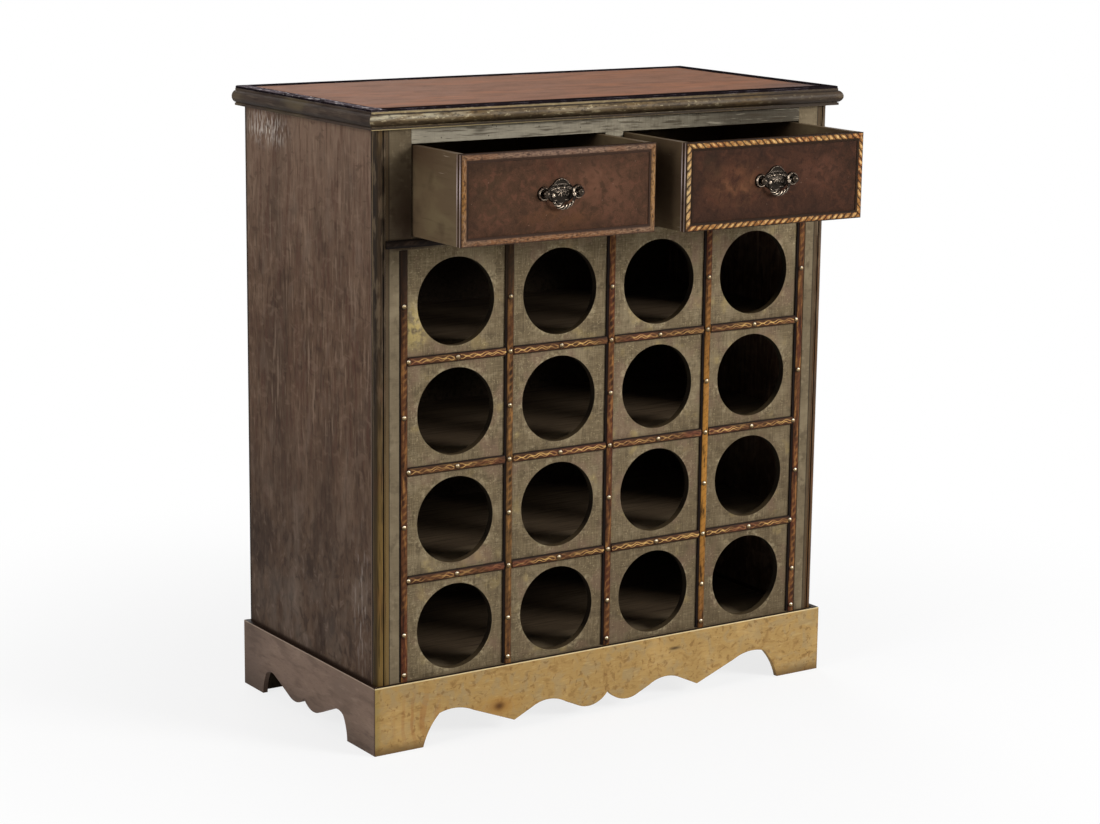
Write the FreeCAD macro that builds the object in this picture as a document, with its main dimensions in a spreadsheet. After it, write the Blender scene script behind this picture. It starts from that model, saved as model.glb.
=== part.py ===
"""Wine cabinet: sixteen bottle holes below two drawers, on a scrolled plinth.

Millimetres, +Z up, the front faces -Y. The origin is on the floor, at the centre of the
footprint with both drawers pulled out as they are at rest.
"""
import FreeCAD, Part
import math
import operator
import os
from types import SimpleNamespace

import Sketcher

# Driving dimensions: name, millimetres, meaning
SIZES = [
    ("side_thickness", "15", "side panels"),
    ("back_thickness", "8", "back panel"),
    ("bottom_thickness", "15", "bottom board"),
    ("bottom_drop", "3.5", "bottom board below the upper edge of the plinth"),
    ("bottom_lift", "10", "bottom board above the underside of the carcass"),
    ("shelf_thickness", "12", "bottle shelves"),
    ("deck_thickness", "12", "board that the drawers run on"),
    ("dado_depth", "5", "groove in the side panels for each shelf end"),
    ("corner_size", "15", "width and depth of the corner mouldings, depth of the face frame"),
    ("corner_land", "3", "flat beside each groove of a corner moulding"),
    ("corner_groove_width", "1.5", "groove beside the corner bead"),
    ("corner_groove_depth", "2", "groove beside the corner bead"),
    ("stile_width", "40", "stiles beside the drawers"),
    ("rack_stile_width", "21", "stiles beside the bottle rack"),
    ("centre_stile_width", "30", "short stile between the drawers"),
    ("top_rail_height", "21.5", "rail above the drawers"),
    ("drawer_opening_height", "125.3", "clear height between the rails"),
    ("drawer_rail_height", "17.7", "rail under the drawers"),
    ("panel_recess", "4", "rack panels behind the face frame front"),
    ("rack_panel_thickness", "11", "panels with the bottle holes"),
    ("hole_pitch_x", "171.5", "bottle holes, centre to centre across"),
    ("hole_pitch_z", "154.5", "bottle holes, centre to centre up"),
    ("hole_radius", "61.8", "bottle holes"),
    ("strip_thickness", "5.5", "upright and cross strips"),
    ("upright_strip_width", "14", "upright strips"),
    ("cross_strip_width", "12", "short strips between the uprights"),
    ("rail_strip_width", "11", "long strip on the drawer rail"),
    ("rail_strip_thickness", "3", "long strip on the drawer rail"),
    ("nail_head_radius", "3.5", "domed nails"),
    ("nail_head_height", "2.6", "domed nails"),
    ("nail_shank_radius", "1", "domed nails"),
    ("nail_shank_length", "14", "domed nails"),
    ("nail_end_margin", "10", "lowest nail above the foot of an upright strip"),
    ("nail_inset", "7", "crossing nails on the outer uprights, towards the middle"),
    ("skirt_height", "98.5", "plinth boards"),
    ("skirt_thickness", "7.5", "plinth boards"),
    ("front_foot_width", "78.5", "foot of the front plinth board"),
    ("side_foot_width", "69.5", "mean of the two feet of a side plinth board"),
    ("side_scroll_shift", "9.5", "scroll of a side plinth board, behind the middle of the board"),
    ("back_foot_width", "80", "foot of the back plinth board"),
    ("block_size", "40", "corner blocks inside the plinth"),
    ("top_overhang_front", "14", "bullnose in front of the face frame"),
    ("top_overhang_side", "17", "bullnose beyond a side panel"),
    ("edge_width", "25", "top edge moulding, inner edge to nose"),
    ("edge_height", "24.5", "top edge moulding"),
    ("edge_nose", "5", "bullnose beyond the fillet under it"),
    ("edge_fillet_height", "3.4", "flat fillet under the bullnose"),
    ("edge_groove_height", "1.2", "groove between fillet and bullnose"),
    ("edge_groove_depth", "1.5", "groove between fillet and bullnose"),
    ("edge_step_height", "3.3", "flat step over the bullnose"),
    ("edge_step_depth", "1", "flat step over the bullnose, behind the fillet"),
    ("border_inset", "6.6", "border edge behind the nose"),
    ("border_width", "17.4", "dark border round the leather top"),
    ("border_thickness", "4", "dark border round the leather top"),
    ("top_leather_thickness", "3", "leather field of the top"),
    ("guide_height", "20", "guide strips beside the drawers"),
    ("kicker_lap", "25", "kickers over the drawer sides"),
    ("stop_width", "40", "drawer stops"),
    ("stop_height", "15", "drawer stops"),
    ("stop_depth", "28.5", "drawer stops, in front of the back panel"),
    ("stop_gap", "0.5", "closed drawer to its stop"),
    ("drawer_gap_side", "1.5", "drawer front to stile"),
    ("drawer_gap_top", "2", "drawer front to top rail"),
    ("drawer_lift", "0.3", "running clearance over the deck"),
    ("left_pullout", "126", "left drawer, out from closed, at rest"),
    ("right_pullout", "151", "right drawer, out from closed, at rest"),
    ("drawer_front_thickness", "10", "drawer front board"),
    ("drawer_side_length", "330", "drawer side, behind the front board"),
    ("drawer_side_thickness", "10", "drawer sides"),
    ("drawer_side_setback", "1", "drawer side inside the end of its front"),
    ("drawer_back_thickness", "10", "drawer back"),
    ("drawer_back_drop", "10", "drawer back below the drawer's upper edge"),
    ("drawer_bottom_thickness", "5", "drawer bottom"),
    ("drawer_bottom_lift", "8", "drawer bottom above the drawer's lower edge"),
    ("drawer_groove_depth", "5", "groove that holds the drawer bottom"),
    ("trim_width", "12", "braided trim round a drawer front"),
    ("trim_thickness", "3", "braided trim round a drawer front"),
    ("leather_thickness", "1.5", "leather facing of a drawer front"),
    ("pull_lift", "2.5", "pull posts above the middle of the drawer front"),
    ("post_spacing", "54.8", "pull posts, centre to centre"),
    ("post_reach", "6", "centre of a post's ball in front of the plate"),
    ("ball_radius", "5.5", "ball at the end of a post"),
    ("collar_radius", "3.8", "collar of a post on the plate"),
    ("collar_thickness", "1.5", "collar of a post on the plate"),
    ("bolt_radius", "2", "bolt of a post"),
    ("bolt_tail", "2", "bolt beyond its nut"),
    ("bolt_clearance", "0.2", "round the bolt in its holes"),
    ("nut_radius", "4.5", "nut, over its corners, halved"),
    ("nut_thickness", "3", "nut"),
    ("plate_thickness", "1.8", "back plate of a pull"),
    ("ear_radius", "10", "round ends of the back plate"),
    ("plate_rise", "20", "crest of the back plate above the posts"),
    ("plate_drop", "17", "lowest point of the back plate below the posts"),
    ("bail_wire_radius", "2", "bail"),
    ("bail_gap", "1.6", "bail wire to ball"),
    ("bail_bend", "2.4", "bend beside each pin of the bail"),
    ("pin_radius", "1", "pins of the bail"),
    ("pin_tail", "2.5", "pin beyond the middle of its ball"),
    ("pin_clearance", "0.08", "round a pin in its ball"),
    ("overrun", "5", "how far a cutting tool passes the face it leaves"),
]

# Scrolled outlines from the foot to the middle: across as a share of the half span between
# the feet, up as a share of the plinth height. A pair of points is an arc, through and to.
FRONT_SCROLL_SHARES = [
    ((0.964, 0.27), (0.915, 0.465)),
    ((0.84, 0.498), (0.738, 0.415)),
    ((0.517, 0.14),),
    ((0.40, 0.315),),
    ((0.315, 0.352), (0.235, 0.265)),
    ((0.175, 0.18),),
    ((0.095, 0.128), (0, 0.305)),
]
SIDE_SCROLL_SHARES = [
    ((0.975, 0.185), (0.91, 0.355)),
    ((0.81, 0.40), (0.70, 0.375)),
    ((0.36, 0.19),),
    ((0.17, 0.155), (0, 0.27)),
]
BACK_SCROLL_SHARES = [
    ((0.98, 0.24), (0.93, 0.33)),
    ((0, 0.33),),
]
# Back plate of the pull from the crest to the lowest point: across as a share of half the
# post spacing, up as a share of the rise or, below the posts, of the drop
PLATE_CREST_SHARE = (0.47, 0.62)
PLATE_SHOULDER_SHARE = (0.59, 0.53)
PLATE_NECK_SHARE = (0.73, 0.335)
PLATE_THROAT_SHARE = (0.73, 0.394)
PLATE_HIP_SHARE = (0.53, 0.676)
PLATE_WAIST_SHARE = (0.29, 0.735)
ARC_MIDDLE_SHARE = math.sqrt(0.5)

ROWS = 4
COLUMNS = 4
SIDES = {"left": -1, "right": 1}
QUARTER_TURN = 90
NUT_SIDE_COUNT = 6
X_AXIS = FreeCAD.Vector(1, 0, 0)
Y_AXIS = FreeCAD.Vector(0, 1, 0)

OPERATIONS = {"+": operator.add, "-": operator.sub, "*": operator.mul, "/": operator.truediv}


class Size:
    """A length worked out from the sheet: the formula that binds it, and its value."""

    def __init__(self, formula, value):
        self.formula = formula
        self.value = value

    def __add__(self, other):
        return combine(self, "+", other)

    def __sub__(self, other):
        return combine(self, "-", other)

    def __mul__(self, other):
        return combine(self, "*", other)

    def __truediv__(self, other):
        return combine(self, "/", other)

    def __neg__(self):
        return combine(0, "-", self)


def as_size(item):
    """A plain number, such as a share or zero, as a size."""
    if isinstance(item, Size):
        return item
    return Size(f"{item}", item)


def combine(first, sign, second):
    first = as_size(first)
    second = as_size(second)
    formula = f"({first.formula} {sign} {second.formula})"
    return Size(formula, OPERATIONS[sign](first.value, second.value))


doc = FreeCAD.newDocument("WineCabinet")
nodes = []
cuts = []


def make_sheet():
    """Writes the driving dimensions into the sheet and returns them by name."""
    sheet = doc.addObject("Spreadsheet::Sheet", "Sizes")
    named = {}
    for row, (name, millimetres, meaning) in enumerate(SIZES, start=1):
        sheet.set(f"A{row}", name)
        sheet.set(f"B{row}", millimetres)
        sheet.set(f"C{row}", meaning)
        sheet.setAlias(f"B{row}", name)
    doc.recompute()
    for name, _, _ in SIZES:
        named[name] = Size(f"Sizes.{name}", float(sheet.get(name)))
    return SimpleNamespace(**named)


def bind(item, prop, size):
    item.setExpression(prop, as_size(size).formula)


def place(item, x, y, z):
    for axis, size in zip("xyz", (x, y, z)):
        bind(item, f"Placement.Base.{axis}", size)


def node(item, label):
    """Marks an object as a sub-part that is written out under its label."""
    item.Label = label
    nodes.append(item)
    return item


def board(name, x_span, y_span, z_span):
    """A flat board between two planes on each axis."""
    item = doc.addObject("Part::Box", name)
    for prop, (low, high) in zip(("Length", "Width", "Height"), (x_span, y_span, z_span)):
        bind(item, prop, as_size(high) - low)
    place(item, x_span[0], y_span[0], z_span[0])
    return item


def rod(name, radius, length, x, y, z, turn=None):
    """A round rod that starts at a point and runs along +Z, or along the turned axis."""
    item = doc.addObject("Part::Cylinder", name)
    if turn:
        item.Placement = FreeCAD.Placement(FreeCAD.Vector(), turn)
    bind(item, "Radius", radius)
    bind(item, "Height", length)
    place(item, x, y, z)
    return item


ALONG_Y = FreeCAD.Rotation(X_AXIS, -QUARTER_TURN)
TOWARDS_FRONT = FreeCAD.Rotation(X_AXIS, QUARTER_TURN)
ALONG_X = FreeCAD.Rotation(Y_AXIS, QUARTER_TURN)


def group(name, items):
    item = doc.addObject("Part::Compound", name)
    item.Links = items
    return item


def fuse(name, items):
    item = doc.addObject("Part::MultiFuse", name)
    item.Shapes = items
    return item


def cut(name, base, tools):
    """Takes one or more tools out of a piece."""
    item = doc.addObject("Part::Cut", name)
    item.Base = base
    item.Tool = tools[0] if len(tools) == 1 else group(f"{name}_tools", tools)
    cuts.append((item, base))
    return item


def new_body(name, x, y, z):
    body = doc.addObject("PartDesign::Body", name)
    place(body, x, y, z)
    return body


def new_sketch(body, plane, name):
    sketch = body.newObject("Sketcher::SketchObject", f"{body.Name}_{name}")
    support = [item for item in body.Origin.OriginFeatures if item.Role == plane][0]
    sketch.AttachmentSupport = (support, "")
    sketch.MapMode = "FlatFace"
    return sketch


def pin_point(sketch, geometry, position, point):
    """Ties one point of a sketch to the sheet in both directions."""
    for kind, part in zip(("DistanceX", "DistanceY"), point):
        size = as_size(part)
        index = sketch.addConstraint(Sketcher.Constraint(kind, geometry, position, size.value))
        bind(sketch, f"Constraints[{index}]", size)


def flat(point):
    return FreeCAD.Vector(as_size(point[0]).value, as_size(point[1]).value, 0)


def draw_path(sketch, start, runs, closed=True):
    """Draws lines, given by an end point, and arcs, given by a point to pass and an end point."""
    ends = []
    here = start
    for run in runs:
        there = run[-1]
        if len(run) == 1:
            edge = sketch.addGeometry(Part.LineSegment(flat(here), flat(there)))
        else:
            edge = sketch.addGeometry(Part.Arc(flat(here), flat(run[0]), flat(there)))
            mark = sketch.addGeometry(Part.Point(flat(run[0])), True)
            pin_point(sketch, mark, 1, run[0])
            sketch.addConstraint(Sketcher.Constraint("PointOnObject", mark, 1, edge))
        first, last = sorted((1, 2), key=lambda end: sketch.getPoint(edge, end).distanceToPoint(flat(here)))
        pin_point(sketch, edge, first, here)
        if ends:
            sketch.addConstraint(Sketcher.Constraint("Coincident", *ends[-1], edge, first))
        else:
            opening = (edge, first)
        ends.append((edge, last))
        here = there
    if closed:
        sketch.addConstraint(Sketcher.Constraint("Coincident", *ends[-1], *opening))
    else:
        pin_point(sketch, *ends[-1], here)


def draw_circle(sketch, centre, radius):
    radius = as_size(radius)
    circle = Part.Circle(flat(centre), FreeCAD.Vector(0, 0, 1), radius.value)
    edge = sketch.addGeometry(circle)
    pin_point(sketch, edge, 3, centre)
    index = sketch.addConstraint(Sketcher.Constraint("Radius", edge, radius.value))
    bind(sketch, f"Constraints[{index}]", radius)


def pad(body, sketch, length, backwards=False, symmetric=False):
    feature = body.newObject("PartDesign::Pad", f"{sketch.Name}_pad")
    feature.Profile = sketch
    feature.Reversed = backwards
    if symmetric:
        feature.SideType = "Symmetric"
    bind(feature, "Length", length)
    return feature


def mitre(body, base, points, height):
    """Cuts a mitre off a piece that stands on its body's XY plane."""
    sketch = new_sketch(body, "XY_Plane", f"mitre_{len(body.Group)}")
    draw_path(sketch, points[0], [(point,) for point in points[1:] + points[:1]])
    feature = body.newObject("PartDesign::Pocket", f"{sketch.Name}_pocket")
    feature.Profile = sketch
    feature.SideType = "Symmetric"
    bind(feature, "Length", (height + s.overrun) * 2)
    cuts.append((feature, base))
    return feature


def mirrored(runs, span, height):
    """A scroll from the right foot to the left one, from the shares of its right half."""
    right = [[(span * across, height * up) for across, up in run] for run in runs]
    left = []
    stops = [(span, 0)] + [run[-1] for run in right]
    for index in reversed(range(len(right))):
        passed = [(-across, up) for across, up in right[index][:-1]]
        across, up = stops[index]
        left.append(passed + [(-across, up)])
    return right + left


def frame_strip(name, plane, origin, half_span, half_rise, width, edge, thickness, backwards=False):
    """One mitred side of a flat frame: edge is top, bottom, left or right."""
    outer = (half_span, half_rise)
    inner = (half_span - width, half_rise - width)
    corners = {
        "top": [(-outer[0], outer[1]), outer, inner, (-inner[0], inner[1])],
        "bottom": [(-outer[0], -outer[1]), (outer[0], -outer[1]), (inner[0], -inner[1]),
                   (-inner[0], -inner[1])],
        "left": [(-outer[0], -outer[1]), (-outer[0], outer[1]), (-inner[0], inner[1]),
                 (-inner[0], -inner[1])],
        "right": [(outer[0], -outer[1]), outer, inner, (inner[0], -inner[1])],
    }[edge]
    body = new_body(f"{name}_{edge}", *origin)
    sketch = new_sketch(body, plane, "outline")
    draw_path(sketch, corners[0], [(corner,) for corner in corners[1:] + corners[:1]])
    pad(body, sketch, thickness, backwards)
    return body


def frame_of_strips(name, *where):
    return group(name, [frame_strip(name, *where[:-2], edge, *where[-2:])
                        for edge in ("top", "bottom", "left", "right")])


s = make_sheet()

# Levels above the floor. The plinth carries the bottom board, the rows of holes stand on that
# board and the drawers on the rows.
bottom_upper = s.skirt_height - s.bottom_drop
carcass_base = bottom_upper - s.bottom_thickness - s.bottom_lift
rack_foot = bottom_upper - s.shelf_thickness / 2
rail_under = rack_foot + s.hole_pitch_z * ROWS
deck_top = rail_under + s.drawer_rail_height
opening_top = deck_top + s.drawer_opening_height
top_under = opening_top + s.top_rail_height
top_upper = top_under + s.edge_height

# Planes across the width, from the middle. The columns of holes set the width of the carcass.
rack_edge = s.hole_pitch_x * COLUMNS / 2 + s.upright_strip_width / 2
corner_inner = rack_edge + s.rack_stile_width
half_width = corner_inner + s.corner_size
side_inner = half_width - s.side_thickness
opening_outer = corner_inner - s.stile_width
opening_inner = s.centre_stile_width / 2

# Planes from front to back. A closed drawer and its stop set the depth of the carcass. The pull
# of the right drawer reaches furthest to the front, the plinth furthest to the back, and the
# origin is halfway between them.
closed_drawer = s.trim_thickness + s.drawer_front_thickness + s.drawer_side_length
carcass_depth = closed_drawer + s.stop_gap + s.stop_depth + s.back_thickness
pull_stack = s.leather_thickness + s.plate_thickness + s.post_reach
pull_front = s.right_pullout - s.trim_thickness + pull_stack + s.ball_radius
front = (pull_front - carcass_depth - s.skirt_thickness) / 2
frame_back = front + s.corner_size
rack_face = front + s.panel_recess
rack_back = rack_face + s.rack_panel_thickness
back = front + carcass_depth
back_inner = back - s.back_thickness


def row_level(row):
    return rail_under - s.hole_pitch_z * (row + 0.5)


def joint_level(row):
    return rail_under - s.hole_pitch_z * row


def column_edge(column):
    return s.hole_pitch_x * (column - COLUMNS / 2)


def column_middle(column):
    return s.hole_pitch_x * (column - COLUMNS / 2 + 0.5)


shelf_levels = [joint_level(row) for row in range(1, ROWS)]


def make_carcass():
    """Side panels grooved for the shelves, back, bottom, shelves and drawer deck."""
    shelf_spans = [(level - s.shelf_thickness / 2, level + s.shelf_thickness / 2) for level in shelf_levels]
    bottom_span = (bottom_upper - s.bottom_thickness, bottom_upper)
    deck_span = (deck_top - s.deck_thickness, deck_top)
    shelf_end = side_inner + s.dado_depth
    for side, sign in SIDES.items():
        near = side_inner if sign > 0 else -half_width
        panel = board(f"side_{side}", (near, near + s.side_thickness), (frame_back, back),
                      (carcass_base, top_under))
        groove = side_inner - s.overrun if sign > 0 else -shelf_end
        grooves = []
        for index, span in enumerate(shelf_spans + [bottom_span, deck_span]):
            grooves.append(board(f"groove_{side}_{index}", (groove, groove + s.dado_depth + s.overrun),
                                 (frame_back - s.overrun, back_inner), span))
        node(cut(f"side_panel_{side}_cut", panel, grooves), f"side_panel_{side}")
    node(board("back", (-side_inner, side_inner), (back_inner, back), (carcass_base, top_under)),
         "back_panel")
    node(board("bottom", (-shelf_end, shelf_end), (rack_back, back_inner), bottom_span), "bottom_board")
    node(board("deck", (-shelf_end, shelf_end), (frame_back, back_inner), deck_span), "drawer_deck")
    for index, span in enumerate(shelf_spans, start=1):
        shelf = board(f"shelf_{index}", (-shelf_end, shelf_end), (rack_back, back_inner), span)
        node(shelf, f"bottle_shelf_{index}")


def make_face_frame():
    """Stiles, rails and the two reeded corner mouldings."""
    depth = (front, frame_back)
    for side, sign in SIDES.items():
        near = opening_outer if sign > 0 else -corner_inner
        stile = board(f"stile_{side}_blank", (near, near + s.stile_width), depth, (carcass_base, top_under))
        notch_near = opening_outer - s.overrun if sign > 0 else -rack_edge
        notch_width = s.stile_width - s.rack_stile_width + s.overrun
        notch = board(f"stile_{side}_notch", (notch_near, notch_near + notch_width),
                      (front - s.overrun, frame_back + s.overrun), (carcass_base - s.overrun, rail_under))
        node(cut(f"stile_{side}_cut", stile, [notch]), f"stile_{side}")
        make_corner_moulding(side, sign)
    across = (-opening_outer, opening_outer)
    node(board("rail_top", across, depth, (opening_top, top_under)), "top_rail")
    node(board("rail_drawer", across, depth, (rail_under, deck_top)), "drawer_rail")
    node(board("rail_base", (-rack_edge, rack_edge), depth, (carcass_base, s.skirt_height)), "base_rail")
    node(board("stile_centre", (-opening_inner, opening_inner), depth, (deck_top, opening_top)),
         "centre_stile")


def make_corner_moulding(side, sign):
    """A corner post with a round bead between two grooves."""
    bead_start = s.corner_land + s.corner_groove_width
    bead_radius = s.corner_size - bead_start
    groove_floor = s.corner_size - s.corner_groove_depth
    bead_middle = bead_start + bead_radius * ARC_MIDDLE_SHARE
    half = [
        (s.corner_size, 0),
        (s.corner_size, s.corner_land),
        (groove_floor, s.corner_land),
        (groove_floor, bead_start),
        (s.corner_size, bead_start),
    ]
    points = half + [(up, across) for across, up in reversed(half)] + [(0, 0)]
    body = new_body(f"corner_{side}", corner_inner * sign, frame_back, carcass_base)
    sketch = new_sketch(body, "XY_Plane", "profile")
    runs = [((as_size(across) * sign, -as_size(up)),) for across, up in points]
    runs[len(half)] = ((bead_middle * sign, -bead_middle), runs[len(half)][0])
    draw_path(sketch, (0, 0), runs)
    pad(body, sketch, top_under - carcass_base)
    node(body, f"corner_moulding_{side}")


def make_rack():
    """Four rows of four panels, each with one bottle hole."""
    for row in range(ROWS):
        low = joint_level(row + 1) if row < ROWS - 1 else s.skirt_height
        panels = []
        for column in range(COLUMNS):
            near = column_edge(column) if column > 0 else -rack_edge
            far = column_edge(column + 1) if column < COLUMNS - 1 else rack_edge
            name = f"rack_{row}_{column}"
            blank = board(f"{name}_blank", (near, far), (rack_face, rack_back), (low, joint_level(row)))
            hole = rod(f"{name}_hole", s.hole_radius, s.rack_panel_thickness + s.overrun * 2,
                       column_middle(column), rack_face - s.overrun, row_level(row), ALONG_Y)
            panels.append(cut(name, blank, [hole]))
        node(group(f"rack_row_{row}", panels), f"rack_panels_row_{row + 1}")


def make_strips():
    """Leather strips over the panel joints, and the nails that hold them."""
    depth = (rack_face - s.strip_thickness, rack_face)
    half_upright = s.upright_strip_width / 2
    uprights = []
    for column in range(COLUMNS + 1):
        middle = column_edge(column)
        uprights.append(board(f"upright_{column}", (middle - half_upright, middle + half_upright), depth,
                              (s.skirt_height, rail_under)))
    node(group("uprights", uprights), "upright_strips")
    crosses = []
    for row, level in enumerate(shelf_levels):
        rise = (level - s.cross_strip_width / 2, level + s.cross_strip_width / 2)
        for column in range(COLUMNS):
            span = (column_edge(column) + half_upright, column_edge(column + 1) - half_upright)
            crosses.append(board(f"cross_{row}_{column}", span, depth, rise))
    node(group("crosses", crosses), "cross_strips")
    rail_middle = rail_under + s.drawer_rail_height / 2
    half_rail_strip = s.rail_strip_width / 2
    node(board("rail_strip_blank", (-corner_inner, corner_inner), (front - s.rail_strip_thickness, front),
               (rail_middle - half_rail_strip, rail_middle + half_rail_strip)), "rail_strip")
    make_nails()


def nail_places():
    """Where the nails sit: on each upright, at each crossing, and midway along each cross strip."""
    places = []
    foot_level = s.skirt_height + s.nail_end_margin
    for column in range(COLUMNS + 1):
        middle = column_edge(column)
        for level in [foot_level] + [row_level(row) for row in range(ROWS)]:
            places.append((middle, level))
        inset = {0: s.nail_inset, COLUMNS: -s.nail_inset}.get(column, 0)
        for level in shelf_levels:
            places.append((middle + inset, level))
    for column in range(COLUMNS):
        for level in shelf_levels:
            places.append((column_middle(column), level))
    return places


def make_nails():
    """One domed nail, set into every place."""
    dome = doc.addObject("Part::Ellipsoid", "nail_dome")
    bind(dome, "Radius1", s.nail_head_height)
    bind(dome, "Radius2", s.nail_head_radius)
    dome.Angle1 = 0
    shank = rod("nail_shank", s.nail_shank_radius, s.nail_shank_length, 0, 0, -s.nail_shank_length)
    nail = fuse("nail", [dome, shank])
    doc.recompute()
    seat = rack_face - s.strip_thickness
    copies = []
    for x, z in nail_places():
        copy = nail.Shape.copy()
        spot = FreeCAD.Vector(x.value, seat.value, z.value)
        copy.Placement = FreeCAD.Placement(spot, TOWARDS_FRONT)
        copies.append(copy)
    nails = doc.addObject("Part::Feature", "nails")
    nails.Shape = Part.makeCompound(copies)
    nails.Placement = FreeCAD.Placement()
    node(nails, "strip_nails")


def make_plinth():
    """Scrolled boards round the foot of the carcass, and the blocks that carry it."""
    outer = half_width + s.skirt_thickness
    reach = s.overrun + s.skirt_thickness
    body = new_body("skirt_front", 0, front, 0)
    sketch = new_sketch(body, "XZ_Plane", "outline")
    inner = outer - s.front_foot_width
    scroll = mirrored(FRONT_SCROLL_SHARES, inner, s.skirt_height)
    draw_path(sketch, (inner, 0), scroll + [((-outer, 0),), ((-outer, s.skirt_height),),
                                            ((outer, s.skirt_height),), ((outer, 0),), ((inner, 0),)])
    base = pad(body, sketch, s.skirt_thickness)
    for sign in SIDES.values():
        points = [((half_width - s.overrun) * sign, s.overrun), ((half_width + reach) * sign, -reach),
                  ((half_width + reach) * sign, s.overrun)]
        base = mitre(body, base, points, s.skirt_height)
    node(body, "plinth_front")
    middle = (front + back) / 2
    half_depth = carcass_depth / 2 + s.skirt_thickness
    inner = half_depth - s.side_foot_width
    for side, sign in SIDES.items():
        body = new_body(f"skirt_{side}", half_width * sign, middle, 0)
        sketch = new_sketch(body, "YZ_Plane", "outline")
        even = mirrored(SIDE_SCROLL_SHARES, inner, s.skirt_height)
        scroll = [[(along + s.side_scroll_shift, up) for along, up in run] for run in even]
        start = (inner + s.side_scroll_shift, 0)
        draw_path(sketch, start, scroll + [((-half_depth, 0),), ((-half_depth, s.skirt_height),),
                                           ((half_depth, s.skirt_height),), ((half_depth, 0),),
                                           (start,)])
        base = pad(body, sketch, s.skirt_thickness, backwards=sign < 0)
        corner = -carcass_depth / 2
        points = [(-s.overrun * sign, corner + s.overrun), (reach * sign, corner - reach),
                  (-s.overrun * sign, corner - reach)]
        mitre(body, base, points, s.skirt_height)
        node(body, f"plinth_{side}")
    body = new_body("skirt_back", 0, back, 0)
    sketch = new_sketch(body, "XZ_Plane", "outline")
    inner = half_width - s.back_foot_width
    scroll = mirrored(BACK_SCROLL_SHARES, inner, s.skirt_height)
    draw_path(sketch, (inner, 0), scroll + [((-half_width, 0),), ((-half_width, s.skirt_height),),
                                            ((half_width, s.skirt_height),), ((half_width, 0),),
                                            ((inner, 0),)])
    pad(body, sketch, s.skirt_thickness, backwards=True)
    node(body, "plinth_back")
    blocks = []
    for side, sign in SIDES.items():
        near = half_width - s.block_size if sign > 0 else -half_width
        for end, start in (("front", front), ("back", back - s.block_size)):
            blocks.append(board(f"block_{side}_{end}", (near, near + s.block_size),
                                (start, start + s.block_size), (0, carcass_base)))
    node(group("blocks", blocks), "plinth_blocks")


def edge_profile(outward):
    """Fillet, groove, bullnose and step of the top edge, drawn from the inner edge outwards."""
    flat_end = s.edge_width - s.edge_nose
    groove_end = flat_end - s.edge_groove_depth
    nose_start = s.edge_fillet_height + s.edge_groove_height
    nose_end = s.edge_height - s.edge_step_height
    nose_middle = (nose_start + nose_end) / 2
    step_end = flat_end - s.edge_step_depth
    return [
        ((flat_end * outward, 0),),
        ((flat_end * outward, s.edge_fillet_height),),
        ((groove_end * outward, s.edge_fillet_height),),
        ((groove_end * outward, nose_start),),
        ((flat_end * outward, nose_start),),
        ((s.edge_width * outward, nose_middle), (flat_end * outward, nose_end)),
        ((step_end * outward, nose_end),),
        ((step_end * outward, s.edge_height),),
        ((0, s.edge_height),),
        ((0, 0),),
    ]


def make_top():
    """Top board with its bullnose edge, dark border and leather field."""
    nose_x = half_width + s.top_overhang_side
    nose_front = front - s.top_overhang_front
    top_back = back + s.skirt_thickness
    core_x = nose_x - s.edge_width
    core_front = nose_front + s.edge_width
    node(board("top_core", (-core_x, core_x), (core_front, top_back), (top_under, top_upper)), "top_board")
    reach = s.edge_width + s.overrun
    body = new_body("edge_front", 0, core_front, top_under)
    sketch = new_sketch(body, "YZ_Plane", "profile")
    draw_path(sketch, (0, 0), edge_profile(-1))
    base = pad(body, sketch, nose_x * 2, symmetric=True)
    for sign in SIDES.values():
        points = [((core_x - s.overrun) * sign, s.overrun), ((core_x + reach) * sign, -reach),
                  ((core_x + reach) * sign, s.overrun)]
        base = mitre(body, base, points, s.edge_height)
    node(body, "top_edge_front")
    for side, sign in SIDES.items():
        body = new_body(f"edge_{side}", core_x * sign, top_back, top_under)
        sketch = new_sketch(body, "XZ_Plane", "profile")
        draw_path(sketch, (0, 0), edge_profile(sign))
        length = top_back - nose_front
        base = pad(body, sketch, length)
        corner = core_front - top_back
        points = [(-s.overrun * sign, corner + s.overrun), (reach * sign, corner - reach),
                  (-s.overrun * sign, corner - reach)]
        mitre(body, base, points, s.edge_height)
        node(body, f"top_edge_{side}")
    border_x = nose_x - s.border_inset
    border_front = nose_front + s.border_inset
    border_y = (border_front + top_back) / 2
    border_half = (top_back - border_front) / 2
    node(frame_of_strips("border", "XY_Plane", (0, border_y, top_upper), border_x, border_half,
                         s.border_width, s.border_thickness, False), "top_border")
    field_x = border_x - s.border_width
    node(board("field", (-field_x, field_x), (border_front + s.border_width, top_back - s.border_width),
               (top_upper, top_upper + s.top_leather_thickness)), "top_leather")


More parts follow.
